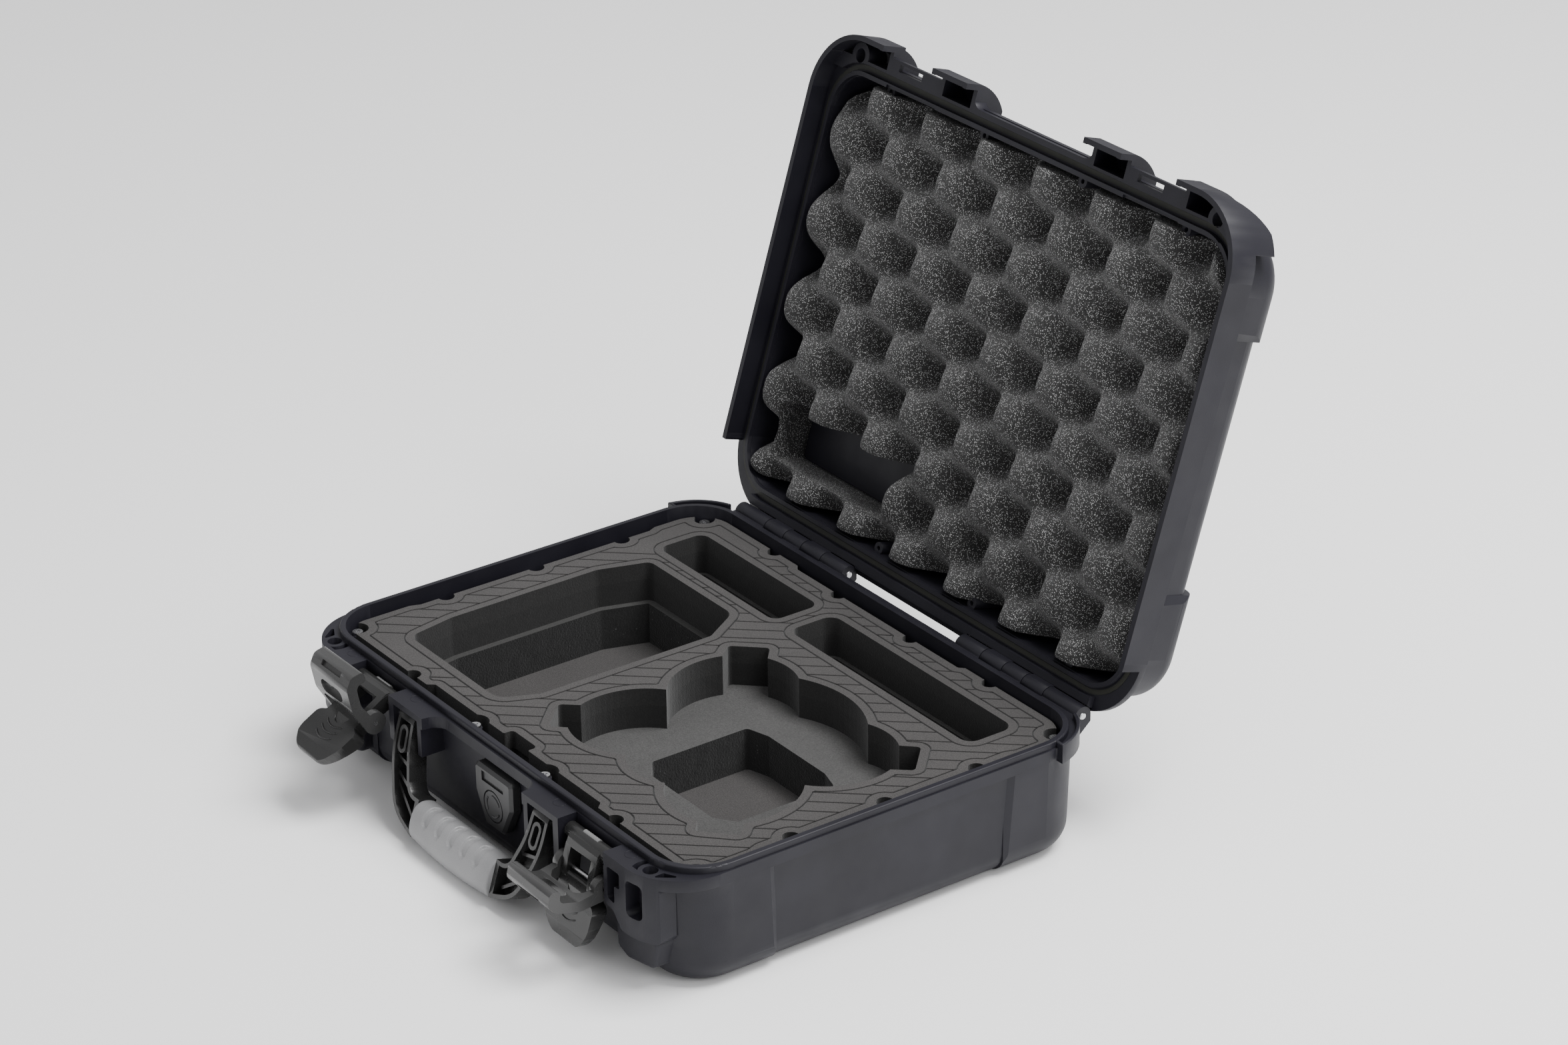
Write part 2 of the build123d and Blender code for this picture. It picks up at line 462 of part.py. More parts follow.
# ---- latches: a lever on the base and a claw on the lever ----------------------------------
TAIL_R, BARREL_R, ROLLER_R = 6.2, 4.0, 1.6
for side, sx in SIDES:
    angle = LEVER_ANGLE[side]
    centre_x = sx * LATCH_X
    lever_side = swing_plane(centre_x, LEVER_Y, LEVER_Z, angle)
    lever_front = front_plane(centre_x, LEVER_Y, LEVER_Z, angle)
    with BuildPart() as lever:
        # thumb paddle: its side profile cut to its front outline
        with BuildSketch(lever_side):
            with BuildLine():
                FilletPolyline(
                    (1.5, -17.5), (-6.0, -17.5), (-8.4, -30), (-10.4, -43), (-9.6, -50.5), (-5.4, -50.5),
                    (-3.6, -40), (0.5, -30), close=True, radius=1.6)
            make_face()
        extrude(amount=LATCH_HALF, both=True)
        with BuildSketch(lever_front):
            with BuildLine():
                FilletPolyline(
                    (-CHEEK_HALF_OUT, -17), (-CHEEK_HALF_OUT, -25), (-LATCH_HALF, -27.5), (-LATCH_HALF, -41),
                    (-11.5, -50.6), (11.5, -50.6), (LATCH_HALF, -41), (LATCH_HALF, -27.5),
                    (CHEEK_HALF_OUT, -25), (CHEEK_HALF_OUT, -17), close=True,
                    radius=[1.5, 1.5, 4, 12, 12, 12, 12, 4, 1.5, 1.5])
            make_face()
        extrude(amount=25, both=True, mode=Mode.INTERSECT)
        # rounded recess in the paddle's face
        with Locations(lever_front * Location((0, -22.5, 9.5))):
            Cylinder(5.5, 5.0, mode=Mode.SUBTRACT)
        # cheeks with the claw pin's bore
        for cheek_start in (CHEEK_HALF_IN, -CHEEK_HALF_OUT):
            with BuildSketch(lever_side.offset(cheek_start)):
                with BuildLine():
                    FilletPolyline(
                        (3.8, 0), (1.2, -12), (1.5, -21), (-6.6, -21), (-6.6, -12), (-5.6, -4), (-3.0, 2.4),
                        (2.0, 3.0), close=True, radius=1.2)
                make_face()
            extrude(amount=CHEEK_HALF_OUT - CHEEK_HALF_IN)
        # head between the cheeks, and the barrel
        with BuildSketch(lever_side):
            with BuildLine():
                FilletPolyline((3.2, 0), (0.5, -5.5), (-5.8, -5.5), (-5.2, -1), (-2.6, 3.0), (2.0, 3.0),
                               close=True, radius=0.9)
            make_face()
        extrude(amount=CHEEK_HALF_OUT - 0.5, both=True)
        with BuildSketch(lever_side):
            Circle(BARREL_R)
        extrude(amount=LATCH_HALF, both=True)
        with BuildSketch(lever_side):
            Circle(LEVER_PIN_R + RUN)
            with Locations((CLAW_DY, CLAW_DZ)):
                Circle(CLAW_PIN_R + RUN)
        extrude(amount=30, both=True, mode=Mode.SUBTRACT)
    lever.part.label = f"latch_lever_{side}"
    export_step(lever.part, f"parts/latch_lever_{side}.step")

    with BuildPart() as roller:
        with BuildSketch(lever_side):
            with Locations((0.0, 3.1)):
                Circle(ROLLER_R)
            Circle(BARREL_R + 0.02, mode=Mode.SUBTRACT)
        extrude(amount=6.5, both=True)
    roller.part.label = f"latch_roller_{side}"
    export_step(roller.part, f"parts/latch_roller_{side}.step")

    turn = radians(angle)
    claw_y = LEVER_Y + CLAW_DY * cos(turn) - CLAW_DZ * sin(turn)
    claw_z = LEVER_Z + CLAW_DY * sin(turn) + CLAW_DZ * cos(turn)
    claw_side = swing_plane(centre_x, claw_y, claw_z, CLAW_LEAN[side])
    claw_front = front_plane(centre_x, claw_y, claw_z, CLAW_LEAN[side])
    with BuildPart() as claw:
        # side profile: a tail round the pin, a long back and a hooked tip
        with BuildSketch(claw_side):
            Circle(TAIL_R)
            with BuildLine():
                FilletPolyline(
                    (-6.0, -1.5), (-10.6, 13), (-10.2, 27), (-6.0, 32.4), (1.4, 32.4), (1.9, 26.2),
                    (-4.6, 26.0), (-5.0, 14), (-1.0, 4.5), (-1.0, -1.5), close=True,
                    radius=[1.5, 10, 5, 4, 2.5, 2, 3, 8, 5, 1.5])
            make_face()
        extrude(amount=LATCH_HALF, both=True)
        # open between the arms, leaving a full-width bar at the tip with an oval window below it
        with BuildSketch(claw_front):
            with BuildLine():
                FilletPolyline(
                    (-ARM_HALF_IN, -20), (-ARM_HALF_IN, 9), (-10, 12), (10, 12), (ARM_HALF_IN, 9),
                    (ARM_HALF_IN, -20), close=True, radius=2)
            make_face()
            with Locations((0, 18.5)):
                SlotOverall(21, 8)
        extrude(amount=30, both=True, mode=Mode.SUBTRACT)
        # groove along the back of the bar
        with BuildSketch(claw_side):
            with Locations((-7.2, 31.0)):
                Rectangle(3.0, 3.2, rotation=40)
        extrude(amount=9.5, both=True, mode=Mode.SUBTRACT)
        with BuildSketch(claw_side):
            Circle(CLAW_PIN_R)
        extrude(amount=30, both=True, mode=Mode.SUBTRACT)
    claw.part.label = f"latch_claw_{side}"
    export_step(claw.part, f"parts/latch_claw_{side}.step")

    with BuildPart() as claw_pin:
        with BuildSketch(claw_side):
            Circle(CLAW_PIN_R)
        extrude(amount=LATCH_HALF - 0.2, both=True)
    claw_pin.part.label = f"claw_pin_{side}"
    export_step(claw_pin.part, f"parts/claw_pin_{side}.step")

# ---- carrying handle ----------------------------------------------------------------------
handle_front = front_plane(0, HANDLE_Y, HANDLE_Z, HANDLE_ANGLE)
handle_side = swing_plane(0, HANDLE_Y, HANDLE_Z, HANDLE_ANGLE)
ARM_T, GRIP_HALF, HEAD_R = 10.8, 37.0, 5.4
BAR_LOW, BAR_HIGH = -56.0, -33.0
BAR_MID = (BAR_LOW + BAR_HIGH) / 2
ARM_WALL, ARM_HOLLOW = 2.2, 7.0        # the arms' rim and the depth of their hollow front

with BuildSketch() as bow:
    with BuildLine():
        FilletPolyline(
            (70, 3.5), (70, -18), (57.5, -46.5), (36, -54.5), (0, BAR_LOW), (-36, -54.5), (-57.5, -46.5),
            (-70, -18), (-70, 3.5), (-56.2, 3.5), (-54.3, -14), (-46.5, BAR_HIGH), (46.5, BAR_HIGH),
            (54.3, -14), (56.2, 3.5), close=True,
            radius=[1, 50, 22, 60, 300, 60, 22, 50, 1, 1, 50, 8, 8, 50, 1])
    make_face()
with BuildSketch() as arm_hollows:
    add(bow.sketch)
    offset(amount=-ARM_WALL)
    with Locations((0, -30)):
        Rectangle(2 * (GRIP_HALF + 3), 80, mode=Mode.SUBTRACT)
    with Locations((0, 6)):
        Rectangle(160, 12, mode=Mode.SUBTRACT)
    with Locations(*[Location((sx * 62.2, -9.6), 90 - sx * 5) for sx in (-1, 1)]):
        SlotOverall(15, 7.6, mode=Mode.SUBTRACT)
        SlotOverall(11, 4.0)
with BuildSketch() as arm_ribs:
    with Locations(*[Location((sx * x, v), sx * turn) for x, v, turn in
                     ((61, -21.5, 12), (57, -30.5, 22), (52, -39.5, 35)) for sx in (-1, 1)]):
        Rectangle(24, 1.8)
    add(bow.sketch, mode=Mode.INTERSECT)
with BuildPart() as handle_frame:
    with BuildSketch(handle_front):
        add(bow.sketch)
    extrude(amount=ARM_T / 2, both=True)
    with BuildSketch(handle_side):
        Circle(HEAD_R)
        with Locations((0, -30)):
            Rectangle(ARM_T, 60)
    extrude(amount=100, both=True, mode=Mode.INTERSECT)
    # narrow core under the grip
    with BuildSketch(handle_side):
        with Locations((0, BAR_MID)):
            Rectangle(40, 30)
            Rectangle(7.0, 14.0, mode=Mode.SUBTRACT)
    extrude(amount=GRIP_HALF, both=True, mode=Mode.SUBTRACT)
    # each arm is hollow in front, with cross ribs and a ring round an oval hole in its web
    with BuildSketch(handle_front.offset(ARM_T / 2)):
        add(arm_hollows.sketch)
    extrude(amount=-ARM_HOLLOW, mode=Mode.SUBTRACT)
    with BuildSketch(handle_front.offset(ARM_T / 2 - ARM_HOLLOW)):
        add(arm_ribs.sketch)
    extrude(amount=4.0)
    with BuildSketch(handle_side):
        Circle(HANDLE_PIN_R + RUN)
    extrude(amount=100, both=True, mode=Mode.SUBTRACT)
handle_frame.part.label = "handle_frame"
export_step(handle_frame.part, "parts/handle_frame.step")

with BuildPart() as handle_grip:
    with BuildSketch(handle_side):
        with Locations((0, BAR_MID)):
            RectangleRounded(17.0, BAR_HIGH - BAR_LOW + 0.6, 8.0)
    extrude(amount=GRIP_HALF - 0.2, both=True)
    with BuildSketch(handle_side):
        with Locations((0, BAR_MID)):
            Rectangle(7.0, 14.0)
    extrude(amount=GRIP_HALF, both=True, mode=Mode.SUBTRACT)
handle_grip.part.label = "handle_grip"
export_step(handle_grip.part, "parts/handle_grip.step")

# ---- pressure valve -----------------------------------------------------------------------
with BuildPart() as valve_body:
    with BuildSketch(Plane.XZ.offset(BODY_Y - 1.9)):
        with BuildLine():
            FilletPolyline(
                (VALVE_X - 17, 56), (VALVE_X + 17, 56), (VALVE_X + 17, 40), (VALVE_X + 8, 23),
                (VALVE_X - 8, 23), (VALVE_X - 17, 40), close=True, radius=3)
        make_face()
    extrude(amount=VALVE_FACE - BODY_Y + 1.9)
    chamfer(valve_body.faces().sort_by(Axis.Y)[0].edges(), 1.6)
    with Locations(Location((VALVE_X, -VALVE_FACE, VALVE_Z), (90, 0, 0))):
        Cylinder(9.0, 3.0, mode=Mode.SUBTRACT)
        Cylinder(VALVE_STEM_R, 13.5, align=(Align.CENTER, Align.CENTER, Align.MAX))
        Cylinder(9.0, 1.5, align=(Align.CENTER, Align.CENTER, Align.MAX), mode=Mode.SUBTRACT)
    with Locations((VALVE_X, -VALVE_FACE, 50.5)):
        Box(20, 2.0, 5.5, mode=Mode.SUBTRACT)
valve_body.part.label = "valve_body"
export_step(valve_body.part, "parts/valve_body.step")
with BuildPart() as valve_disc:
    with Locations(Location((VALVE_X, -VALVE_FACE + 0.75, VALVE_Z), (90, 0, 0))):
        Cylinder(8.2, 1.5)
valve_disc.part.label = "valve_disc"
export_step(valve_disc.part, "parts/valve_disc.step")
with BuildPart() as valve_nut:
    with BuildSketch(Plane.XZ.offset(TONGUE_IN_Y - 4.6)):
        with Locations((VALVE_X, VALVE_Z)):
            RegularPolygon(11, 6)
            Circle(VALVE_STEM_R, mode=Mode.SUBTRACT)
    extrude(amount=3.0)
valve_nut.part.label = "valve_nut"
export_step(valve_nut.part, "parts/valve_nut.step")

# ---- foam insert of the base: engraved top sheet, two cut layers and a base sheet ------------
FOAM_LEFT, FOAM_RIGHT, FOAM_FRONT, FOAM_BACK = 163.3, 161.0, 113.3, 120.4
SIDE_STEP, FRONT_STEP, BACK_STEP, RECESS = 2.2, 3.7, 2.8, 9.3      # the sheet is drawn back along its sides


def foam_outline(inset):
    """Plan of the insert, stepped along its sides and notched round the screw bosses."""
    left, right = FOAM_LEFT - inset, FOAM_RIGHT - inset
    front, back = FOAM_FRONT - inset, FOAM_BACK - inset
    with BuildSketch() as outline:
        with BuildLine():
            FilletPolyline(
                (-left, -front), (-81.5, -front), (-78.5, FRONT_STEP - front), (-13, FRONT_STEP - front),
                (-13, RECESS - front), (9.5, RECESS - front), (9.5, FRONT_STEP - front),
                (75.5, FRONT_STEP - front), (79, -front), (right, -front), (right, -77),
                (right - SIDE_STEP, -71), (right - SIDE_STEP, 80), (right, 86), (right, back),
                (72, back), (69, back - BACK_STEP), (-74, back - BACK_STEP), (-77, back), (-left, back),
                (-left, 85), (SIDE_STEP - left, 80), (SIDE_STEP - left, -68), (-left, -74), close=True,
                radius=[12, 1, 1, 1, 2.5, 2.5, 1, 1, 1, 12, 1, 1, 1, 1, 21, 1, 1, 1, 1, 21, 1, 1, 1, 1])
        make_face()
        for x, y, turn, reach in BOSSES:
            with Locations((x, y)):
                Circle(BOSS_R + (2.4 if abs(x) > 100 else 3.8), mode=Mode.SUBTRACT)
        edge_notches = [(-95.5, -front), (93.5, -front)]
        edge_notches += [(SIDE_STEP - left, y) for y in (-52, 5.5, 61.5)]
        edge_notches += [(right - SIDE_STEP, y) for y in (-54, 3, 60)]
        edge_notches += [(-98, back), (-35.5, back - BACK_STEP), (28.5, back - BACK_STEP), (92.5, back)]
        with Locations(*edge_notches):
            Circle(4.6, mode=Mode.SUBTRACT)
    return outline.sketch


def controller_outline(inset):
    """Eight-sided pocket for the remote controller."""
    with BuildSketch() as pocket:
        with BuildLine():
            FilletPolyline(
                (-132.6, -92), (-138, -63), (-138.5, 30), (-129, 59), (-52, 59), (-37.5, 35.5), (-37.5, -71),
                (-47, -92), close=True, radius=[7, 12, 12, 5, 9, 4, 6, 10])
        make_face()
        if inset:
            offset(amount=-inset)
    return pocket.sketch


def slot_outlines(inset):
    """Two long slots along the back."""
    with BuildSketch() as slots:
        with Locations((-86.2, 87)):
            RectangleRounded(108.5 - 2 * inset, 29.6 - 2 * inset, 6 - inset)
        with Locations((59.5, 86.4)):
            RectangleRounded(155 - 2 * inset, 29.4 - 2 * inset, 7 - inset)
    return slots.sketch


def drone_outline():
    """Pocket for the folded drone: bulging lobes round the airframe and a square notch at each motor."""
    with BuildSketch() as pocket:
        with BuildLine():
            Polyline((-15.2, 27.2), (-22.7, 36.4), (-7.6, 52.3), (1.2, 44.6))
            ThreePointArc((1.2, 44.6), (14.8, 47.5), (29.0, 44.6))
            ThreePointArc((29.0, 44.6), (59.8, 52.6), (90.0, 43.8))
            ThreePointArc((90.0, 43.8), (103.6, 46.3), (117.5, 42.9))
            Polyline((117.5, 42.9), (125.4, 50.8), (142.6, 33.9), (134.4, 24.6))
            ThreePointArc((134.4, 24.6), (135.3, 1.5), (121.6, -18.8))
            ThreePointArc((121.6, -18.8), (134.6, -38.5), (134.7, -64.6))
            Polyline((134.7, -64.6), (142.8, -72.7), (126.3, -88.3), (118.8, -81.6))
            ThreePointArc((118.8, -81.6), (101.5, -83.9), (78.0, -73.0))
            ThreePointArc((78.0, -73.0), (60.0, -78.9), (42.5, -72.6))
            ThreePointArc((42.5, -72.6), (20.5, -82.9), (1.2, -80.2))
            Polyline((1.2, -80.2), (-5.8, -87.2), (-22.4, -70.4), (-14.8, -61.9))
            ThreePointArc((-14.8, -61.9), (-16.3, -40.0), (-2.2, -17.3))
            ThreePointArc((-2.2, -17.3), (-16.5, 4.5), (-15.2, 27.2))
        make_face()
        corners = pocket.vertices()
        notch_tips = [v for v in corners if v.X < -21 or v.X > 141 or abs(v.Y - 0.7) > 50 and v.Y > 50
                      or v.Y < -87]
        low_points = [v for v in corners if -74 < v.Y < -72 and 40 < v.X < 80]
        side_points = [v for v in corners if -20 < v.Y < -16]
        fillet(notch_tips, 2.4)
        fillet(low_points, 9)
        fillet(side_points, 2.5)
    return pocket.sketch


def battery_outline():
    """Deeper pocket in the floor of the drone pocket, its corners cut off."""
    with BuildSketch() as pocket:
        with BuildLine():
            FilletPolyline(
                (22.3, -43.5), (33.5, -51.5), (87.5, -51.5), (98.7, -43.5), (98.7, 16), (85, 20), (36, 20),
                (22.3, 16), close=True, radius=3)
        make_face()
    return pocket.sketch


# each layer: name, underside, top, inset of its outline to follow the draft, and its cut-outs
foam_layers = (
    ("foam_top_sheet", FOAM_SEAM, FOAM_TOP, 0.0,
     (controller_outline(0), slot_outlines(0), drone_outline())),
    ("foam_upper_layer", FOAM_LEDGE, FOAM_SEAM, 1.0,
     (controller_outline(0), slot_outlines(0), drone_outline())),
    ("foam_lower_layer", FOAM_FLOOR, FOAM_LEDGE, 2.2,
     (controller_outline(4.0), slot_outlines(2.5), battery_outline())))
for name, low, high, inset, cut_outs in foam_layers:
    with BuildPart() as layer:
        with BuildSketch(Plane.XY.offset(low)):
            add(foam_outline(inset))
            for plan in cut_outs:
                add(plan, mode=Mode.SUBTRACT)
        extrude(amount=high - low)
    layer.part.label = name
    export_step(layer.part, f"parts/{name}.step")

with BuildPart() as foam_base_sheet:
    with BuildSketch(Plane.XY.offset(FOAM_BOTTOM)):
        with Locations((0, 4)):
            RectangleRounded(2 * 150, 208, 12)
    extrude(amount=FOAM_FLOOR - FOAM_BOTTOM)
foam_base_sheet.part.label = "foam_base_sheet"
export_step(foam_base_sheet.part, "parts/foam_base_sheet.step")

# screws in the bosses
with BuildPart() as boss_screws:
    for x, y, turn, reach in BOSSES:
        with Locations((x, y, BOSS_TOP)):
            Cylinder(2.8, 1.8, align=(Align.CENTER, Align.CENTER, Align.MIN))
            Cylinder(SCREW_R, 12, align=(Align.CENTER, Align.CENTER, Align.MAX))
        with Locations((x, y, BOSS_TOP + 1.8)):
            Box(3.4, 0.7, 1.6, mode=Mode.SUBTRACT)
            Box(0.7, 3.4, 1.6, mode=Mode.SUBTRACT)
boss_screws.part.label = "boss_screws"
export_step(boss_screws.part, "parts/boss_screws.step")
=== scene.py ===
"""Looks of a hard carrying case for a small drone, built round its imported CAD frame.

Everything is in metres in the frame's own axes: +Z up, -Y the front with the latches.
Lid pieces are drawn shut, as they lie on the base, and then turned open on the hinge line.
"""
import json
import math

import bmesh
import bpy
import numpy as np
from mathutils import Matrix, Quaternion, Vector, noise
from mathutils.geometry import delaunay_2d_cdt
from mathutils.kdtree import KDTree


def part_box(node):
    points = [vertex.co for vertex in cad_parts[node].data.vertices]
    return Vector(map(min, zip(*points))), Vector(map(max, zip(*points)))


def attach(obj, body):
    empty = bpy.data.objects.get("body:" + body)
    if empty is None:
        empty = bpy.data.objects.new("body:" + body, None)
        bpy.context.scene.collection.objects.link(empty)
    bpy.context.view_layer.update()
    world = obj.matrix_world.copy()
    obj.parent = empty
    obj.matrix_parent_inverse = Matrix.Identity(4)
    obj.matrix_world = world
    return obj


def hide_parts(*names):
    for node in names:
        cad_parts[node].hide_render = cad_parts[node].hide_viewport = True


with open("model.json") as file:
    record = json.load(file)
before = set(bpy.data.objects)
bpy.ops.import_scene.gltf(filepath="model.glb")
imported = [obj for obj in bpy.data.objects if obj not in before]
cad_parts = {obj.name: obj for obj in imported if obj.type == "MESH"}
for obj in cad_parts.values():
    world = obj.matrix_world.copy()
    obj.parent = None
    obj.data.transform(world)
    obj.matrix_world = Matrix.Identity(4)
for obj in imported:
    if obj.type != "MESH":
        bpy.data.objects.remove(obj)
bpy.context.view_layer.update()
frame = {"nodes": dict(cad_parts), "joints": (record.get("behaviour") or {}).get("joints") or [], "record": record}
nodes = frame["nodes"]
joints = {joint["name"]: joint for joint in frame["joints"]}
MM = 0.001


# ---- camera and studio ----------------------------------------------------------------------
def make_camera():
    """Long lens from the front right, looking down on the open case."""
    data = bpy.data.cameras.new("camera")
    data.sensor_width = 36.0
    data.lens = 102.7
    data.clip_start = 0.05
    data.clip_end = 50.0
    camera = bpy.data.objects.new("camera", data)
    bpy.context.scene.collection.objects.link(camera)
    look = Vector((-0.73224, 0.52004, -0.43976))
    roll = Quaternion((0, 0, 1), math.radians(-0.743))
    camera.rotation_mode = "QUATERNION"
    camera.rotation_quaternion = look.to_track_quat("-Z", "Y") @ roll
    camera.location = (1.6922, -1.1448, 1.1537)
    bpy.context.scene.camera = camera


def make_light(name, place, aim, size, power):
    """Square softbox at place, turned to aim."""
    data = bpy.data.lights.new(name, "AREA")
    data.shape = "SQUARE"
    data.size = size
    data.energy = power
    light = bpy.data.objects.new(name, data)
    bpy.context.scene.collection.objects.link(light)
    light.location = place
    light.rotation_mode = "QUATERNION"
    light.rotation_quaternion = (Vector(aim) - Vector(place)).to_track_quat("-Z", "Y")


def make_studio():
    """Pale floor, even surroundings and soft lights."""
    world = bpy.data.worlds.new("studio")
    world.use_nodes = True
    background = world.node_tree.nodes["Background"]
    background.inputs["Color"].default_value = (0.95, 0.95, 0.96, 1)
    background.inputs["Strength"].default_value = 0.66
    bpy.context.scene.world = world
    middle_of_case = (0, 0, 0.1)
    make_light("top_softbox", (0.6, 0.7, 2.1), middle_of_case, 1.2, 84)
    make_light("right_softbox", (2.2, 0.3, 1.5), middle_of_case, 1.2, 22)
    make_light("front_fill", (0.2, -2.4, 1.2), middle_of_case, 1.5, 5)
    bpy.ops.mesh.primitive_plane_add(size=16.0, location=(0, 0, 0))
    floor = bpy.context.object
    floor.name = "floor"
    floor.data.materials.append(floor_material())


# ---- materials ------------------------------------------------------------------------------
def new_material(name, color, roughness, specular=0.5):
    """Principled material with its constants on the shader's own sockets."""
    material = bpy.data.materials.new(name)
    material.use_nodes = True
    shader = material.node_tree.nodes["Principled BSDF"]
    shader.inputs["Base Color"].default_value = (*color, 1)
    shader.inputs["Roughness"].default_value = roughness
    shader.inputs["Specular IOR Level"].default_value = specular
    return material, material.node_tree, shader


def position_in_metres(tree):
    """Texture coordinates that don't depend on UVs."""
    return tree.nodes.new("ShaderNodeTexCoord").outputs["Object"]


def noise_texture(tree, place, scale, detail=2.0, rough=0.5):
    texture = tree.nodes.new("ShaderNodeTexNoise")
    texture.inputs["Scale"].default_value = scale
    texture.inputs["Detail"].default_value = detail
    texture.inputs["Roughness"].default_value = rough
    tree.links.new(place, texture.inputs["Vector"])
    return texture.outputs["Fac"]


def ramp(tree, value, stops):
    """Colour ramp: stops are (position, grey or colour)."""
    node = tree.nodes.new("ShaderNodeValToRGB")
    elements = node.color_ramp.elements
    while len(elements) < len(stops):
        elements.new(0.5)
    for element, (position, color) in zip(elements, stops):
        element.position = position
        shade = color if isinstance(color, tuple) else (color, color, color)
        element.color = (*shade, 1)
    tree.links.new(value, node.inputs["Fac"])
    return node.outputs["Color"]


def mix(tree, factor, first, second, mode="MIX"):
    """Mix of two colours; each input is a socket, a constant colour or a number."""
    node = tree.nodes.new("ShaderNodeMix")
    node.data_type = "RGBA"
    node.blend_type = mode
    sockets = (node.inputs["Factor"], node.inputs[6], node.inputs[7])
    for socket, value in zip(sockets, (factor, first, second)):
        if isinstance(value, bpy.types.NodeSocket):
            tree.links.new(value, socket)
        elif isinstance(value, tuple):
            socket.default_value = (*value, 1)
        else:
            socket.default_value = value
    return node.outputs[2]


def bump(tree, shader, layers):
    """Chain of bump nodes: layers are (height socket, strength, distance in metres)."""
    normal = None
    for height, strength, distance in layers:
        node = tree.nodes.new("ShaderNodeBump")
        node.inputs["Strength"].default_value = strength
        node.inputs["Distance"].default_value = distance
        tree.links.new(height, node.inputs["Height"])
        if normal is not None:
            tree.links.new(normal, node.inputs["Normal"])
        normal = node.outputs["Normal"]
    tree.links.new(normal, shader.inputs["Normal"])


def floor_material():
    material, tree, shader = new_material("pale_floor", (0.93, 0.93, 0.93), 0.9, 0.2)
    place = position_in_metres(tree)
    grain = noise_texture(tree, place, 900.0)
    tree.links.new(ramp(tree, grain, ((0.3, 0.925), (0.7, 0.935))), shader.inputs["Base Color"])
    return material


def plastic_material(name, dark, light, roughness, texture_scale, texture_depth, specular=0.5):
    """Moulded plastic: spark-eroded grain, faint cloudiness and small changes of gloss."""
    material, tree, shader = new_material(name, light, roughness, specular)
    place = position_in_metres(tree)
    cloud = noise_texture(tree, place, 22.0, 3.0)
    grain = noise_texture(tree, place, texture_scale, 1.0)
    tone = ramp(tree, cloud, ((0.35, dark), (0.65, light)))
    speck = ramp(tree, grain, ((0.35, 0.88), (0.65, 1.0)))
    tree.links.new(mix(tree, 1.0, tone, speck, "MULTIPLY"), shader.inputs["Base Color"])
    gloss = ramp(tree, noise_texture(tree, place, 60.0, 4.0),
                 ((0.3, roughness - 0.04), (0.7, roughness + 0.05)))
    tree.links.new(gloss, shader.inputs["Roughness"])
    bump(tree, shader, ((grain, 0.35, texture_depth), (cloud, 0.1, 0.0004)))
    return material


def steel_material():
    """Bright drawn wire: fine lines round the pin."""
    material, tree, shader = new_material("pin_steel", (0.55, 0.55, 0.56), 0.28)
    shader.inputs["Metallic"].default_value = 1.0
    place = position_in_metres(tree)
    lines = noise_texture(tree, place, 1800.0, 1.0)
    tree.links.new(ramp(tree, lines, ((0.3, 0.24), (0.7, 0.38))), shader.inputs["Roughness"])
    bump(tree, shader, ((lines, 0.2, 0.00005),))
    return material


def foam_material(name, dark, light, cell, depth, speck=0.0, glint_color=(0.5, 0.5, 0.5)):
    """Foam: fine cells, soft mottling, in open-cell foam pale specks that are painted glints, and painted shade
    down engraved grooves.
    """
    material, tree, shader = new_material(name, light, 0.95, 0.25)
    place = position_in_metres(tree)
    mottle = noise_texture(tree, place, 35.0, 3.0)
    cells = noise_texture(tree, place, 1.0 / cell, 2.0, 0.6)
    tone = ramp(tree, cells, ((0.3, dark), (0.7, light)))
    soft = ramp(tree, mottle, ((0.3, 0.85), (0.7, 1.0)))
    color = mix(tree, 1.0, tone, soft, "MULTIPLY")
    # pale dots in some cells: painted glints, not a colour of the foam
    if speck > 0:
        glint = tree.nodes.new("ShaderNodeTexVoronoi")
        glint.inputs["Scale"].default_value = 0.8 / cell
        tree.links.new(place, glint.inputs["Vector"])
        where = ramp(tree, glint.outputs["Color"], ((1.0 - speck - 0.03, 0.0), (1.0 - speck, 1.0)))
        core = ramp(tree, glint.outputs["Distance"], ((0.15, 1.0), (0.4, 0.0)))
        color = mix(tree, mix(tree, 1.0, where, core, "MULTIPLY"), color, glint_color)
    # engraved grooves are darkened by their depth: painted shade
    groove = tree.nodes.new("ShaderNodeAttribute")
    groove.attribute_name = "groove"
    groove_shade = ramp(tree, groove.outputs["Fac"], ((0.08, 0.0), (0.5, 1.0)))
    color = mix(tree, groove_shade, color, (0.003, 0.003, 0.003))
    tree.links.new(color, shader.inputs["Base Color"])
    shader.inputs["Sheen Weight"].default_value = 0.15
    shader.inputs["Sheen Roughness"].default_value = 0.6
    bump(tree, shader, ((mottle, 0.15, 0.0006), (cells, 0.6, depth)))
    return material


def grey(value):
    return (value, value, value)


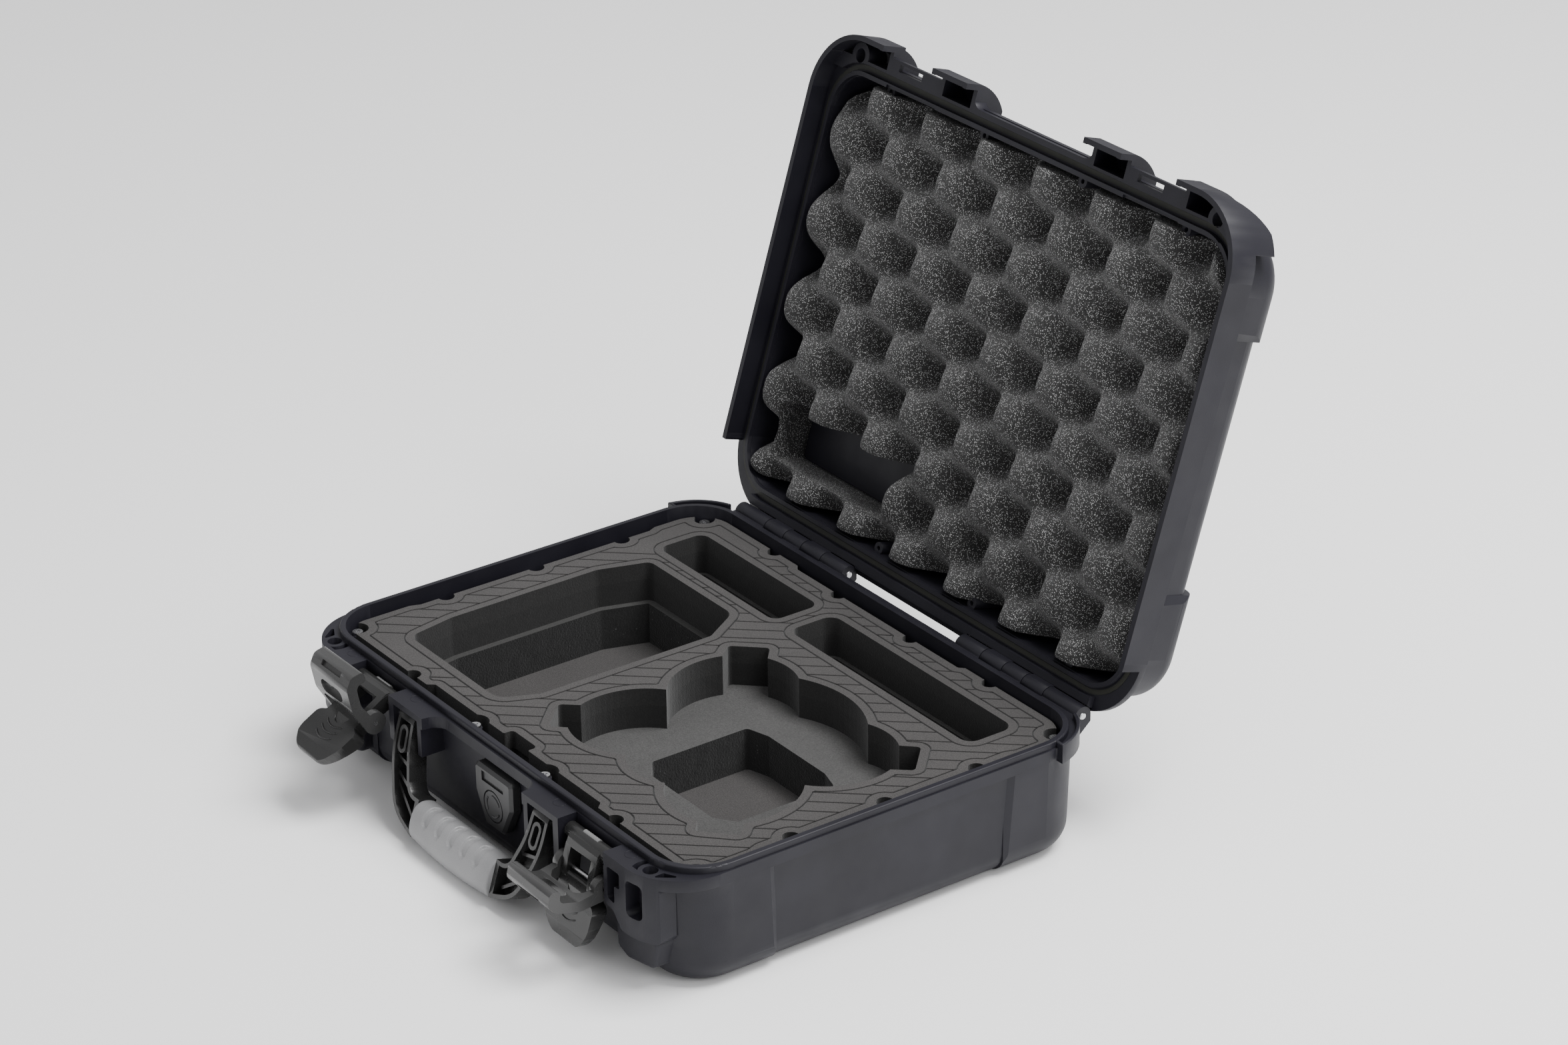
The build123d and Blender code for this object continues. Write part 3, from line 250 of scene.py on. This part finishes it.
CELL = 0.0005                          # width of the finest foam cells
materials = {
    "shell": plastic_material("shell_plastic", (0.0075, 0.0070, 0.0115), (0.0120, 0.0115, 0.0170),
                              0.50, 2300.0, 0.00010, 0.32),
    "latch": plastic_material("latch_plastic", grey(0.014), grey(0.021), 0.27, 1600.0, 0.00004),
    "valve": plastic_material("valve_plastic", (0.018, 0.018, 0.019), (0.025, 0.025, 0.026),
                              0.36, 1600.0, 0.00005),
    "grip": plastic_material("grip_rubber", (0.22, 0.22, 0.225), (0.27, 0.27, 0.275),
                             0.42, 2600.0, 0.00005),
    "roller": plastic_material("roller_plastic", grey(0.14), grey(0.18), 0.35, 1600.0, 0.00003),
    "seal": plastic_material("seal_rubber", (0.010, 0.0105, 0.007), (0.016, 0.0165, 0.011),
                             0.6, 900.0, 0.0001),
    "steel": steel_material(),
    "foam_sheet": foam_material("foam_grey", (0.014, 0.0128, 0.0125), (0.050, 0.0460, 0.0450),
                                1.2 * CELL, 0.0004),
    "foam_dark": foam_material("foam_dark", grey(0.002), (0.007, 0.0067, 0.0065), 1.8 * CELL, 0.0004),
    # the pale specks of the black and lid foams are painted glints
    "foam_black": foam_material("foam_black", grey(0.001), grey(0.004), 2.2 * CELL, 0.0009,
                                0.10, grey(0.07)),
    "foam_lid": foam_material("foam_lid", grey(0.002), grey(0.045), CELL, 0.0012, 0.55, grey(0.70)),
}
# latch claws: a paler copy of the latch plastic, a painted highlight
claw_highlight_material = plastic_material("claw_plastic_painted_highlight", grey(0.034), grey(0.046), 0.25, 1600.0, 0.00004)
# painted light and shade: level cut faces of the darker foams are painted paler than their walls, as lit tops, and
# the grey sheet's walls are painted darker, as shade
lit_and_shaded_foams = {
    "foam_black": foam_material("foam_black_lit_top", (0.026, 0.0255, 0.025), (0.056, 0.055, 0.054),
                                1.4 * CELL, 0.0003),
    "foam_dark": foam_material("foam_lit_step_shaded_ledge", (0.008, 0.008, 0.0075), (0.022, 0.021, 0.020),
                               1.4 * CELL, 0.0003),
    "foam_sheet": foam_material("foam_grey_shaded_wall", grey(0.004), (0.012, 0.0115, 0.011),
                                1.8 * CELL, 0.0004),
}


def paint(piece, slot):
    piece.data.materials.clear()
    piece.data.materials.append(materials[slot])


# ---- mesh helpers ---------------------------------------------------------------------------
def add_object(name, points, faces, smooth=False):
    mesh = bpy.data.meshes.new(name)
    mesh.from_pydata([tuple(point) for point in points], [], [tuple(face) for face in faces])
    built = bmesh.new()
    built.from_mesh(mesh)
    bmesh.ops.remove_doubles(built, verts=built.verts, dist=2e-6)
    bmesh.ops.recalc_face_normals(built, faces=built.faces)
    built.to_mesh(mesh)
    built.free()
    if smooth:
        mesh.shade_smooth()
    piece = bpy.data.objects.new(name, mesh)
    bpy.context.scene.collection.objects.link(piece)
    return piece


def outlines_at(node, height):
    """Closed outlines of a CAD node's flat faces at a height, as arrays of x and y."""
    built = bmesh.new()
    built.from_mesh(nodes[node].data)
    bmesh.ops.remove_doubles(built, verts=built.verts, dist=1e-6)
    built.verts.index_update()
    built.verts.ensure_lookup_table()
    for face in built.faces:
        face.tag = all(abs(v.co.z - height) < 1e-5 for v in face.verts)
    following = {}
    for face in built.faces:
        if not face.tag:
            continue
        for loop in face.loops:
            if sum(other.tag for other in loop.edge.link_faces) == 1:
                following[loop.vert.index] = loop.link_loop_next.vert.index
    outlines = []
    while following:
        first = next(iter(following))
        chain = [first]
        step = following.pop(first)
        while step != first:
            chain.append(step)
            step = following.pop(step)
        outlines.append(np.array([built.verts[i].co[:2] for i in chain]))
    built.free()
    return outlines


def densify(outline, spacing):
    """The outline with its long edges divided; its own corners stay."""
    points = []
    for here, there in zip(outline, np.roll(outline, -1, axis=0)):
        parts = max(1, int(math.ceil(np.linalg.norm(there - here) / spacing)))
        for i in range(parts):
            points.append(here + (there - here) * i / parts)
    return np.array(points)


def inside(points, outlines):
    """Even-odd test of points against closed outlines."""
    result = np.zeros(len(points), bool)
    x, y = points[:, 0], points[:, 1]
    for outline in outlines:
        for (ax, ay), (bx, by) in zip(outline, np.roll(outline, -1, axis=0)):
            if ay != by:
                crosses = (ay > y) != (by > y)
                result ^= crosses & (x < (bx - ax) * (y - ay) / (by - ay) + ax)
    return result


def edge_tree(outlines, spacing=0.0004):
    """Nearest-point search over finely divided outlines."""
    points = np.vstack([densify(outline, spacing) for outline in outlines])
    tree = KDTree(len(points))
    for i, (x, y) in enumerate(points):
        tree.insert((x, y, 0), i)
    tree.balance()
    return tree


def triangulate(outlines, extra_points=(), extra_edges=()):
    """Triangles that fill the outlines and keep the extra points and edges."""
    points, edges = [], []
    for outline in outlines:
        start = len(points)
        points += [Vector(p) for p in outline]
        edges += [(start + i, start + (i + 1) % len(outline)) for i in range(len(outline))]
    start = len(points)
    points += [Vector(p) for p in extra_points]
    edges += [(start + a, start + b) for a, b in extra_edges]
    flat, _, triangles, _, _, _ = delaunay_2d_cdt(points, edges, [], 0, 1e-7, False)
    flat = np.array([tuple(p) for p in flat])
    triangles = np.array([t for t in triangles if len(t) == 3])
    centres = flat[triangles].mean(axis=1)
    return flat, triangles[inside(centres, outlines)]


def sheet_piece(name, outlines, low, top, rings, wobble, extra_points=(), extra_edges=(), smooth=False):
    """Cut sheet: walls of several rings between two caps; top is a function of x and y."""
    points, faces = [], []
    for outline in outlines:
        count = len(outline)
        side = np.roll(outline, -1, axis=0) - np.roll(outline, 1, axis=0)
        side /= np.maximum(np.linalg.norm(side, axis=1, keepdims=True), 1e-9)
        start = len(points)
        for level in range(rings + 1):
            share = level / rings
            for (x, y), (dx, dy) in zip(outline, side):
                z = low + (top(x, y) - low) * share
                push = 0.0
                if 0 < level < rings:
                    push = wobble * noise.noise(Vector((x, y, z * 2.5)) * 160.0)
                points.append((x + dy * push, y - dx * push, z))
        for level in range(rings):
            for i in range(count):
                a = start + level * count + i
                b = start + level * count + (i + 1) % count
                faces.append((a, b, b + count, a + count))
    for surface, extras in ((top, (extra_points, extra_edges)), (lambda x, y: low, ((), ()))):
        flat, triangles = triangulate(outlines, *extras)
        start = len(points)
        points += [(x, y, surface(x, y)) for x, y in flat]
        faces += [tuple(int(i) + start for i in triangle) for triangle in triangles]
    return add_object(name, points, faces, smooth)


# ---- base foam: engraved top sheet and cut layers ----------------------------------------------
GROOVE_HALF, GROOVE_DEPTH = 0.55 * MM, 0.8 * MM
CONTOUR_INSET = 5.0 * MM
HATCH_ANGLE, HATCH_PITCH, HATCH_SHIFT = math.radians(48.3), 9.45 * MM, -100.5 * MM
HATCH_LINES = 26                                   # hatch lines on each side of the shifted middle


def contour_lines(outlines, search, inset, cell=1.3 * MM):
    """Segments where the distance to the outlines is inset, found cell by cell on a grid."""
    everything = np.vstack(outlines)
    low, high = everything.min(axis=0), everything.max(axis=0)
    columns, rows = (int(n) + 2 for n in (high - low) / cell)
    xs, ys = low[0] + cell * np.arange(columns), low[1] + cell * np.arange(rows)
    grid = np.array([(x, y) for y in ys for x in xs])
    level = np.array([search.find((x, y, 0))[2] for x, y in grid])
    level = (np.where(inside(grid, outlines), level, -level) - inset).reshape(rows, columns)
    crossings, segments = {}, []
    for j in range(rows - 1):
        for i in range(columns - 1):
            corners = ((i, j), (i + 1, j), (i + 1, j + 1), (i, j + 1))
            values = [level[b, a] for a, b in corners]
            if min(values) > 0 or max(values) <= 0:
                continue
            found = []
            for k in range(4):
                (a, b), (c, d) = corners[k], corners[(k + 1) % 4]
                here, there = values[k], values[(k + 1) % 4]
                if (here > 0) != (there > 0):
                    share = here / (here - there)
                    key = tuple(sorted((corners[k], corners[(k + 1) % 4])))
                    point = (xs[a] + (xs[c] - xs[a]) * share, ys[b] + (ys[d] - ys[b]) * share)
                    found.append(crossings.setdefault(key, (len(crossings), point))[0])
            segments += [(found[n], found[n + 1]) for n in range(0, len(found) - 1, 2)]
    return np.array([point for _, point in crossings.values()]), segments


def hatch_lines(outlines, search, inset, blank):
    """Ends of parallel hatch lines, clipped to the area inside the contour lines."""
    along = np.array((math.cos(HATCH_ANGLE), math.sin(HATCH_ANGLE)))
    across = np.array((-along[1], along[0]))
    reach, spacing = 0.26, 0.3 * MM
    steps = np.arange(-reach, reach, spacing)
    lines = []
    for k in range(-HATCH_LINES, HATCH_LINES + 1):
        row = across * (HATCH_SHIFT + k * HATCH_PITCH) + steps[:, None] * along
        within = inside(row, outlines)
        (x0, y0), (x1, y1) = blank
        within &= ~((row[:, 0] > x0) & (row[:, 0] < x1) & (row[:, 1] > y0) & (row[:, 1] < y1))
        for i in np.flatnonzero(within):
            within[i] = search.find((*row[i], 0))[2] > inset
        ends = np.flatnonzero(np.diff(np.concatenate(([0], within.astype(int), [0]))))
        lines += [(row[a], row[b - 1]) for a, b in zip(ends[::2], ends[1::2]) if b - a > 6]
    return lines


BLANK_LOW, BLANK_HIGH = (-0.146, -0.111), (-0.1035, -0.0975)      # corner left without hatching
SEARCH_STEP = 0.12 * MM


def groove_edges(starts, ends, sideways):
    """Ends of the left, middle and right line of straight grooves, and the edges that join them."""
    points, edges = [], []
    for a, b in zip(starts, ends):
        for shift in (-GROOVE_HALF, 0.0, GROOVE_HALF):
            points += [a + sideways * shift, b + sideways * shift]
            edges.append((len(points) - 2, len(points) - 1))
    return points, edges


def engraved_sheet():
    """Top foam sheet with V grooves along its contour lines and hatch lines."""
    low, high = (corner.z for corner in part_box("foam_top_sheet"))
    outlines = [densify(outline, 2.5 * MM) for outline in outlines_at("foam_top_sheet", high)]
    search = edge_tree(outlines)
    centres, segments = contour_lines(outlines, search, CONTOUR_INSET)
    inward = []
    for x, y in centres:
        nearest = search.find((x, y, 0))[0]
        away = np.array((x - nearest.x, y - nearest.y))
        inward.append(away / np.linalg.norm(away))
    inward = np.array(inward)
    points, edges = [], []
    for shift in (-GROOVE_HALF, 0.0, GROOVE_HALF):
        start = len(points)
        points += list(centres + inward * shift)
        edges += [(start + a, start + b) for a, b in segments]
    hatches = hatch_lines(outlines, search, CONTOUR_INSET, (BLANK_LOW, BLANK_HIGH))
    sideways = np.array((-math.sin(HATCH_ANGLE), math.cos(HATCH_ANGLE)))
    hatch_points, hatch_edges = groove_edges(*zip(*hatches), sideways)
    edges += [(len(points) + a, len(points) + b) for a, b in hatch_edges]
    points += hatch_points

    spots = []
    for a, b in [(centres[a], centres[b]) for a, b in segments] + hatches:
        steps = int(np.linalg.norm(b - a) / SEARCH_STEP) + 2
        spots += list(densify(np.array((a, b)), SEARCH_STEP)[:steps])
    groove_search = KDTree(len(spots))
    for i, (x, y) in enumerate(spots):
        groove_search.insert((x, y, 0), i)
    groove_search.balance()

    def engraved_height(x, y):
        share = max(0.0, 1.0 - groove_search.find((x, y, 0))[2] / GROOVE_HALF)
        return high - GROOVE_DEPTH * share

    sheet = sheet_piece("foam_top_engraved", outlines, low, engraved_height, rings=3, wobble=0.1 * MM,
                        extra_points=points, extra_edges=edges)
    # groove depth of each point, which the foam shader turns into painted shade
    depth = []
    for vertex in sheet.data.vertices:
        below = high - vertex.co.z
        depth.append(max(0.0, min(1.0, below / GROOVE_DEPTH)) if below < 1.2 * GROOVE_DEPTH else 0.0)
    sheet.data.attributes.new("groove", "FLOAT", "POINT").data.foreach_set("value", depth)
    return sheet


def cut_layer(name, node, rings, wobble):
    """Plain foam layer with slightly wavering knife-cut walls."""
    low, high = (corner.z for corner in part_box(node))
    outlines = [densify(outline, 2.5 * MM) for outline in outlines_at(node, high)]
    return sheet_piece(name, outlines, low, lambda x, y: high, rings=rings, wobble=wobble)


# the narrow ledges beyond these are painted darker, as shade
LEDGES_LEFT, LEDGES_BACK = -34 * MM, 60 * MM        # beyond these the lower layer shows only narrow ledges


def make_base_foam():
    pieces = [(engraved_sheet(), "foam_top_sheet", "foam_sheet")]
    for name, node, slot, rings, wobble in (
            ("foam_upper", "foam_upper_layer", "foam_dark", 5, 0.15 * MM),
            ("foam_lower", "foam_lower_layer", "foam_black", 8, 0.25 * MM),
            ("foam_floor", "foam_base_sheet", "foam_sheet", 3, 0.1 * MM)):
        pieces.append((cut_layer(name, node, rings, wobble), node, slot))
    for piece, node, slot in pieces:
        paint(piece, slot)
        piece.data.materials.append(lit_and_shaded_foams[slot])
        piece.data.materials.append(lit_and_shaded_foams["foam_dark"])
        # level faces and walls take the lit and shaded copies of their foam: painted light and shade
        for face in piece.data.polygons:
            level = face.normal.z > 0.5
            among_ledges = face.center.x < LEDGES_LEFT or face.center.y > LEDGES_BACK
            # narrow ledges of the black layer take the darker step copy: painted shade
            shaded_ledge = slot == "foam_black" and level and among_ledges
            second = level != (slot == "foam_sheet")
            face.material_index = 2 if shaded_ledge else int(second)
        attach(piece, "base")
        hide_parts(node)


# ---- lid foam ----------------------------------------------------------------------------------
def lid_opening():
    """Turn from the shut lid to the stored one."""
    hinge = joints["lid_hinge"]
    pivot = Matrix.Translation(Vector(hinge["pos_m"]))
    turn = Matrix.Rotation(-math.radians(max(hinge["range_deg"])), 4, "X")
    return pivot @ turn @ pivot.inverted()


def rounded_rectangle(low, high, radius, spacing):
    """Closed outline with arc corners, evenly divided."""
    points = []
    centres = ((high[0], high[1], 0), (low[0], high[1], 90), (low[0], low[1], 180), (high[0], low[1], 270))
    for x, y, start in centres:
        cx = x - math.copysign(radius, x - (low[0] + high[0]) / 2)
        cy = y - math.copysign(radius, y - (low[1] + high[1]) / 2)
        for k in range(9):
            angle = math.radians(start + 90 * k / 8)
            points.append((cx + radius * math.cos(angle), cy + radius * math.sin(angle)))
    return densify(np.array(points), spacing)


CRATE_X, CRATE_Y = 47.3 * MM, 49.6 * MM            # full periods of the egg-crate surface
CRATE_SHIFT = (11.0 * MM, -84.0 * MM)
CRATE_PEAK, CRATE_DEPTH = 64.8 * MM, 23.0 * MM


def crate_wave(x, y):
    """1 on a peak, 0 in a pit."""
    a = 2 * math.pi * (x - CRATE_SHIFT[0] + 0.05 * y) / CRATE_X
    b = 2 * math.pi * (y - CRATE_SHIFT[1]) / CRATE_Y
    return (1 - math.cos(a) * math.cos(b)) / 2


def crate_height(x, y):
    """Shut-lid height of the egg-crate surface: broad peaks and narrow pits."""
    pit = (1 - crate_wave(x, y)) ** 1.9
    ripple = 0.5 * MM * noise.noise(Vector((x, y, 0)) * 90.0)
    return CRATE_PEAK + CRATE_DEPTH * pit + ripple


def make_lid_foam():
    half_x, half_y = 160.0 * MM, 115.6 * MM
    back = 95.5 * MM
    spacing = 2.4 * MM
    outer = rounded_rectangle((-half_x, -half_y), (half_x, half_y), 17 * MM, spacing)
    drawn_in = []
    for x, y in outer:
        unevenness = abs(noise.noise(Vector((x, y, 0)) * 120.0))
        pull = 1 - 0.012 * (1 - crate_wave(x, y)) - 0.006 * unevenness
        drawn_in.append((x * pull, y * pull))
    outer = np.array(drawn_in)
    cut_out = rounded_rectangle((-148 * MM, 69 * MM), (-40 * MM, 102 * MM), 4 * MM, spacing)
    outlines = [outer, cut_out]
    search = edge_tree(outlines, 1 * MM)
    xs = np.arange(-half_x, half_x, spacing)
    ys = np.arange(-half_y, half_y, spacing)
    grid = np.array([(x, y) for y in ys for x in xs])
    grid = grid[inside(grid, outlines)]
    grid = np.array([p for p in grid if search.find((*p, 0))[2] > 0.6 * spacing])
    piece = sheet_piece("lid_foam_crate", outlines, back, crate_height, rings=7, wobble=0.5 * MM,
                        extra_points=grid, smooth=True)
    piece.data.transform(lid_opening())
    paint(piece, "foam_lid")
    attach(piece, "lid")
    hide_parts("lid_foam")


# ---- handle grip, latch ridges and small moulded marks ------------------------------------------
def swung_place(pivot_y, pivot_z, angle):
    """Frame of a swung front piece: x along +X, y up, z outward, from its pivot line."""
    origin = Matrix.Translation((0, pivot_y, pivot_z))
    return origin @ Matrix.Rotation(math.radians(90 + angle), 4, "X")


def smooth_step(value):
    share = max(0.0, min(1.0, value))
    return share * share * (3 - 2 * share)


HANDLE_ANGLE = -17.5                               # stored swings about +X, in degrees
LEVER_ANGLES = {"left": -52.0, "right": -10.0}
GRIP_HALF, GRIP_TOP = 37.0 * MM, -32.7 * MM
GRIP_LOW_END, GRIP_LOW_MIDDLE = -54.6 * MM, -57.0 * MM
GRIP_THICK = 8.6 * MM
GRIP_ROUNDNESS = 0.8                               # power law of the section: 1 is an ellipse
FINGER_GROOVES = [step * 12.0 * MM for step in (-2, -1, 0, 1, 2)]
FINGER_PLACE, WAY_PER_DEGREE = 48, 0.19 * MM       # place round the section, from the front
FINGER_REACH, FINGER_RADIUS = 5.4 * MM, 3.2 * MM   # straight half and end radius of the oblong
FINGER_EDGE, FINGER_SINK = 0.9 * MM, 1.5 * MM


def squared(value):
    """Sine or cosine raised to the section's power law, with its sign."""
    return math.copysign(abs(value) ** GRIP_ROUNDNESS, value)


def make_grip():
    """Soft grip with a bowed underside and five oblong finger grooves over its upper front edge."""
    rings, around = 186, 96
    points, faces = [], []
    for i in range(rings + 1):
        x = GRIP_HALF * (2 * i / rings - 1)
        bow = 1 - (x / GRIP_HALF) ** 2
        low = GRIP_LOW_END + (GRIP_LOW_MIDDLE - GRIP_LOW_END) * bow
        middle, half = (GRIP_TOP + low) / 2, (GRIP_TOP - low) / 2
        end = min(1.0, (GRIP_HALF - abs(x)) / (1.6 * MM))
        rounding = 1 - 0.10 * (1 - math.sqrt(1 - (1 - end) ** 2))
        for k in range(around):
            angle = 2 * math.pi * k / around
            out = squared(math.cos(angle)) * GRIP_THICK * rounding
            up = squared(math.sin(angle)) * half * rounding
            along = (math.degrees(angle) - FINGER_PLACE + 180) % 360 - 180
            sideways = min(abs(x - groove) for groove in FINGER_GROOVES)
            past = max(0.0, abs(along) * WAY_PER_DEGREE - FINGER_REACH)
            groove = smooth_step((FINGER_RADIUS - math.hypot(sideways, past)) / FINGER_EDGE)
            sink = 1 - groove * FINGER_SINK / math.hypot(out, up)
            points.append((x, middle + up * sink, out * sink))
    for i in range(rings):
        for k in range(around):
            a, b = i * around + k, i * around + (k + 1) % around
            faces.append((a, b, b + around, a + around))
    faces.append(tuple(range(around)))
    faces.append(tuple(range(rings * around, (rings + 1) * around)))
    grip = add_object("soft_grip", points, faces, smooth=True)
    pivot = joints["handle_pivot"]["pos_m"]
    grip.data.transform(swung_place(pivot[1], pivot[2], HANDLE_ANGLE))
    paint(grip, "grip")
    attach(grip, "handle")
    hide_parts("handle_grip")


def rod(path, radius, around=10):
    """Points and faces of a round rod along a path, with domed ends."""
    points, faces = [], []
    last = len(path) - 1
    for i, here in enumerate(path):
        ahead = (path[min(i + 1, last)] - path[max(i - 1, 0)]).normalized()
        side = ahead.cross(Vector((0, 0, 1)) if abs(ahead.z) < 0.9 else Vector((1, 0, 0))).normalized()
        other = ahead.cross(side)
        size = radius * (0.45 if i in (0, last) else 1.0)
        for k in range(around):
            angle = 2 * math.pi * k / around
            points.append(here + (side * math.cos(angle) + other * math.sin(angle)) * size)
    for i in range(last):
        for k in range(around):
            a, b = i * around + k, i * around + (k + 1) % around
            faces.append((a, b, b + around, a + around))
    faces.append(tuple(range(around)))
    faces.append(tuple(range(last * around, (last + 1) * around)))
    return points, faces


def add_rods(name, paths, radius, slot, body, place=Matrix.Identity(4)):
    """One object made of several rods."""
    points, faces = [], []
    for path in paths:
        more_points, more_faces = rod(path, radius)
        faces += [tuple(i + len(points) for i in face) for face in more_faces]
        points += more_points
    piece = add_object(name, points, faces, smooth=True)
    piece.data.transform(place)
    paint(piece, slot)
    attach(piece, body)
    return piece


def ring(x, y, z, radius, start=0.0, end=360.0, upright=False):
    """Arc path, flat or facing the front."""
    path = []
    for k in range(33):
        angle = math.radians(start + (end - start) * k / 32)
        a, b = radius * math.cos(angle), radius * math.sin(angle)
        path.append(Vector((x + a, y, z + b)) if upright else Vector((x + a, y + b, z)))
    return path


RIDGE_HEIGHTS = (-31.0 * MM, -35.0 * MM, -39.0 * MM)
RIDGE_BOW = 45.0                                   # rise of a ridge towards its ends, per metre
PADDLE_TOP, PADDLE_FRONT, PADDLE_SLOPE = -30.0 * MM, 8.4 * MM, 0.154
EJECTOR_X, EJECTOR_Y = (67.0 * MM, 130.0 * MM), -127.5 * MM
RIM_TOP = 65.0 * MM


def thumb_ridge(middle_x, height):
    """Shallow upturned arc across a paddle's sloping front face."""
    path = []
    for k in range(-7, 8):
        x = k * 1.05 * MM
        y = height + RIDGE_BOW * x * x
        path.append(Vector((middle_x + x, y, PADDLE_FRONT + (PADDLE_TOP - y) * PADDLE_SLOPE)))
    return path


def make_small_marks():
    """Thumb ridges on the paddles, faint ejector rings on the rim and arcs on the valve."""
    for side, angle in LEVER_ANGLES.items():
        pivot = joints[f"lever_{side}_pivot"]["pos_m"]
        ridges = [thumb_ridge(pivot[0], height) for height in RIDGE_HEIGHTS]
        place = swung_place(pivot[1], pivot[2], angle)
        add_rods(f"thumb_ridges_{side}", ridges, 0.55 * MM, "latch", f"lever_{side}", place)
    rings = [ring(side * x, EJECTOR_Y, RIM_TOP, 3.7 * MM) for side in (-1, 1) for x in EJECTOR_X]
    add_rods("ejector_rings", rings, 0.14 * MM, "shell", "base")
    valve_low, valve_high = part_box("valve_disc")
    centre = (valve_low + valve_high) / 2
    arcs = []
    for start in (20, 140, 260):
        arcs.append(ring(centre.x, valve_low.y, centre.z, 5.9 * MM, start, start + 78, upright=True))
    add_rods("valve_arcs", arcs, 0.55 * MM, "valve", "base")


# ---- carried-over CAD nodes ---------------------------------------------------------------------
def finish_cad_nodes():
    """Record slots become materials, the latch claws get a paler copy of the latch plastic as painted highlight,
    and moulded edges are eased.
    """
    slots = {part["node"]: part["material_slot"] for part in frame["record"]["subparts"]}
    eased = {"shell": 0.5 * MM, "latch": 0.7 * MM, "valve": 0.35 * MM}
    for name, node in nodes.items():
        slot = slots[name]
        paint(node, slot)
        # claws take the paler copy of the latch plastic, a painted highlight
        if name.startswith("latch_claw"):
            node.data.materials[0] = claw_highlight_material
        if slot in eased:
            weld = node.modifiers.new("weld", "WELD")
            weld.merge_threshold = 1e-5
            bevel = node.modifiers.new("eased_edges", "BEVEL")
            bevel.width = eased[slot]
            bevel.segments = 2
            bevel.limit_method = "ANGLE"
            bevel.angle_limit = math.radians(32)
            bevel.harden_normals = True


make_camera()
make_studio()
finish_cad_nodes()
make_base_foam()
make_lid_foam()
make_grip()
make_small_marks()
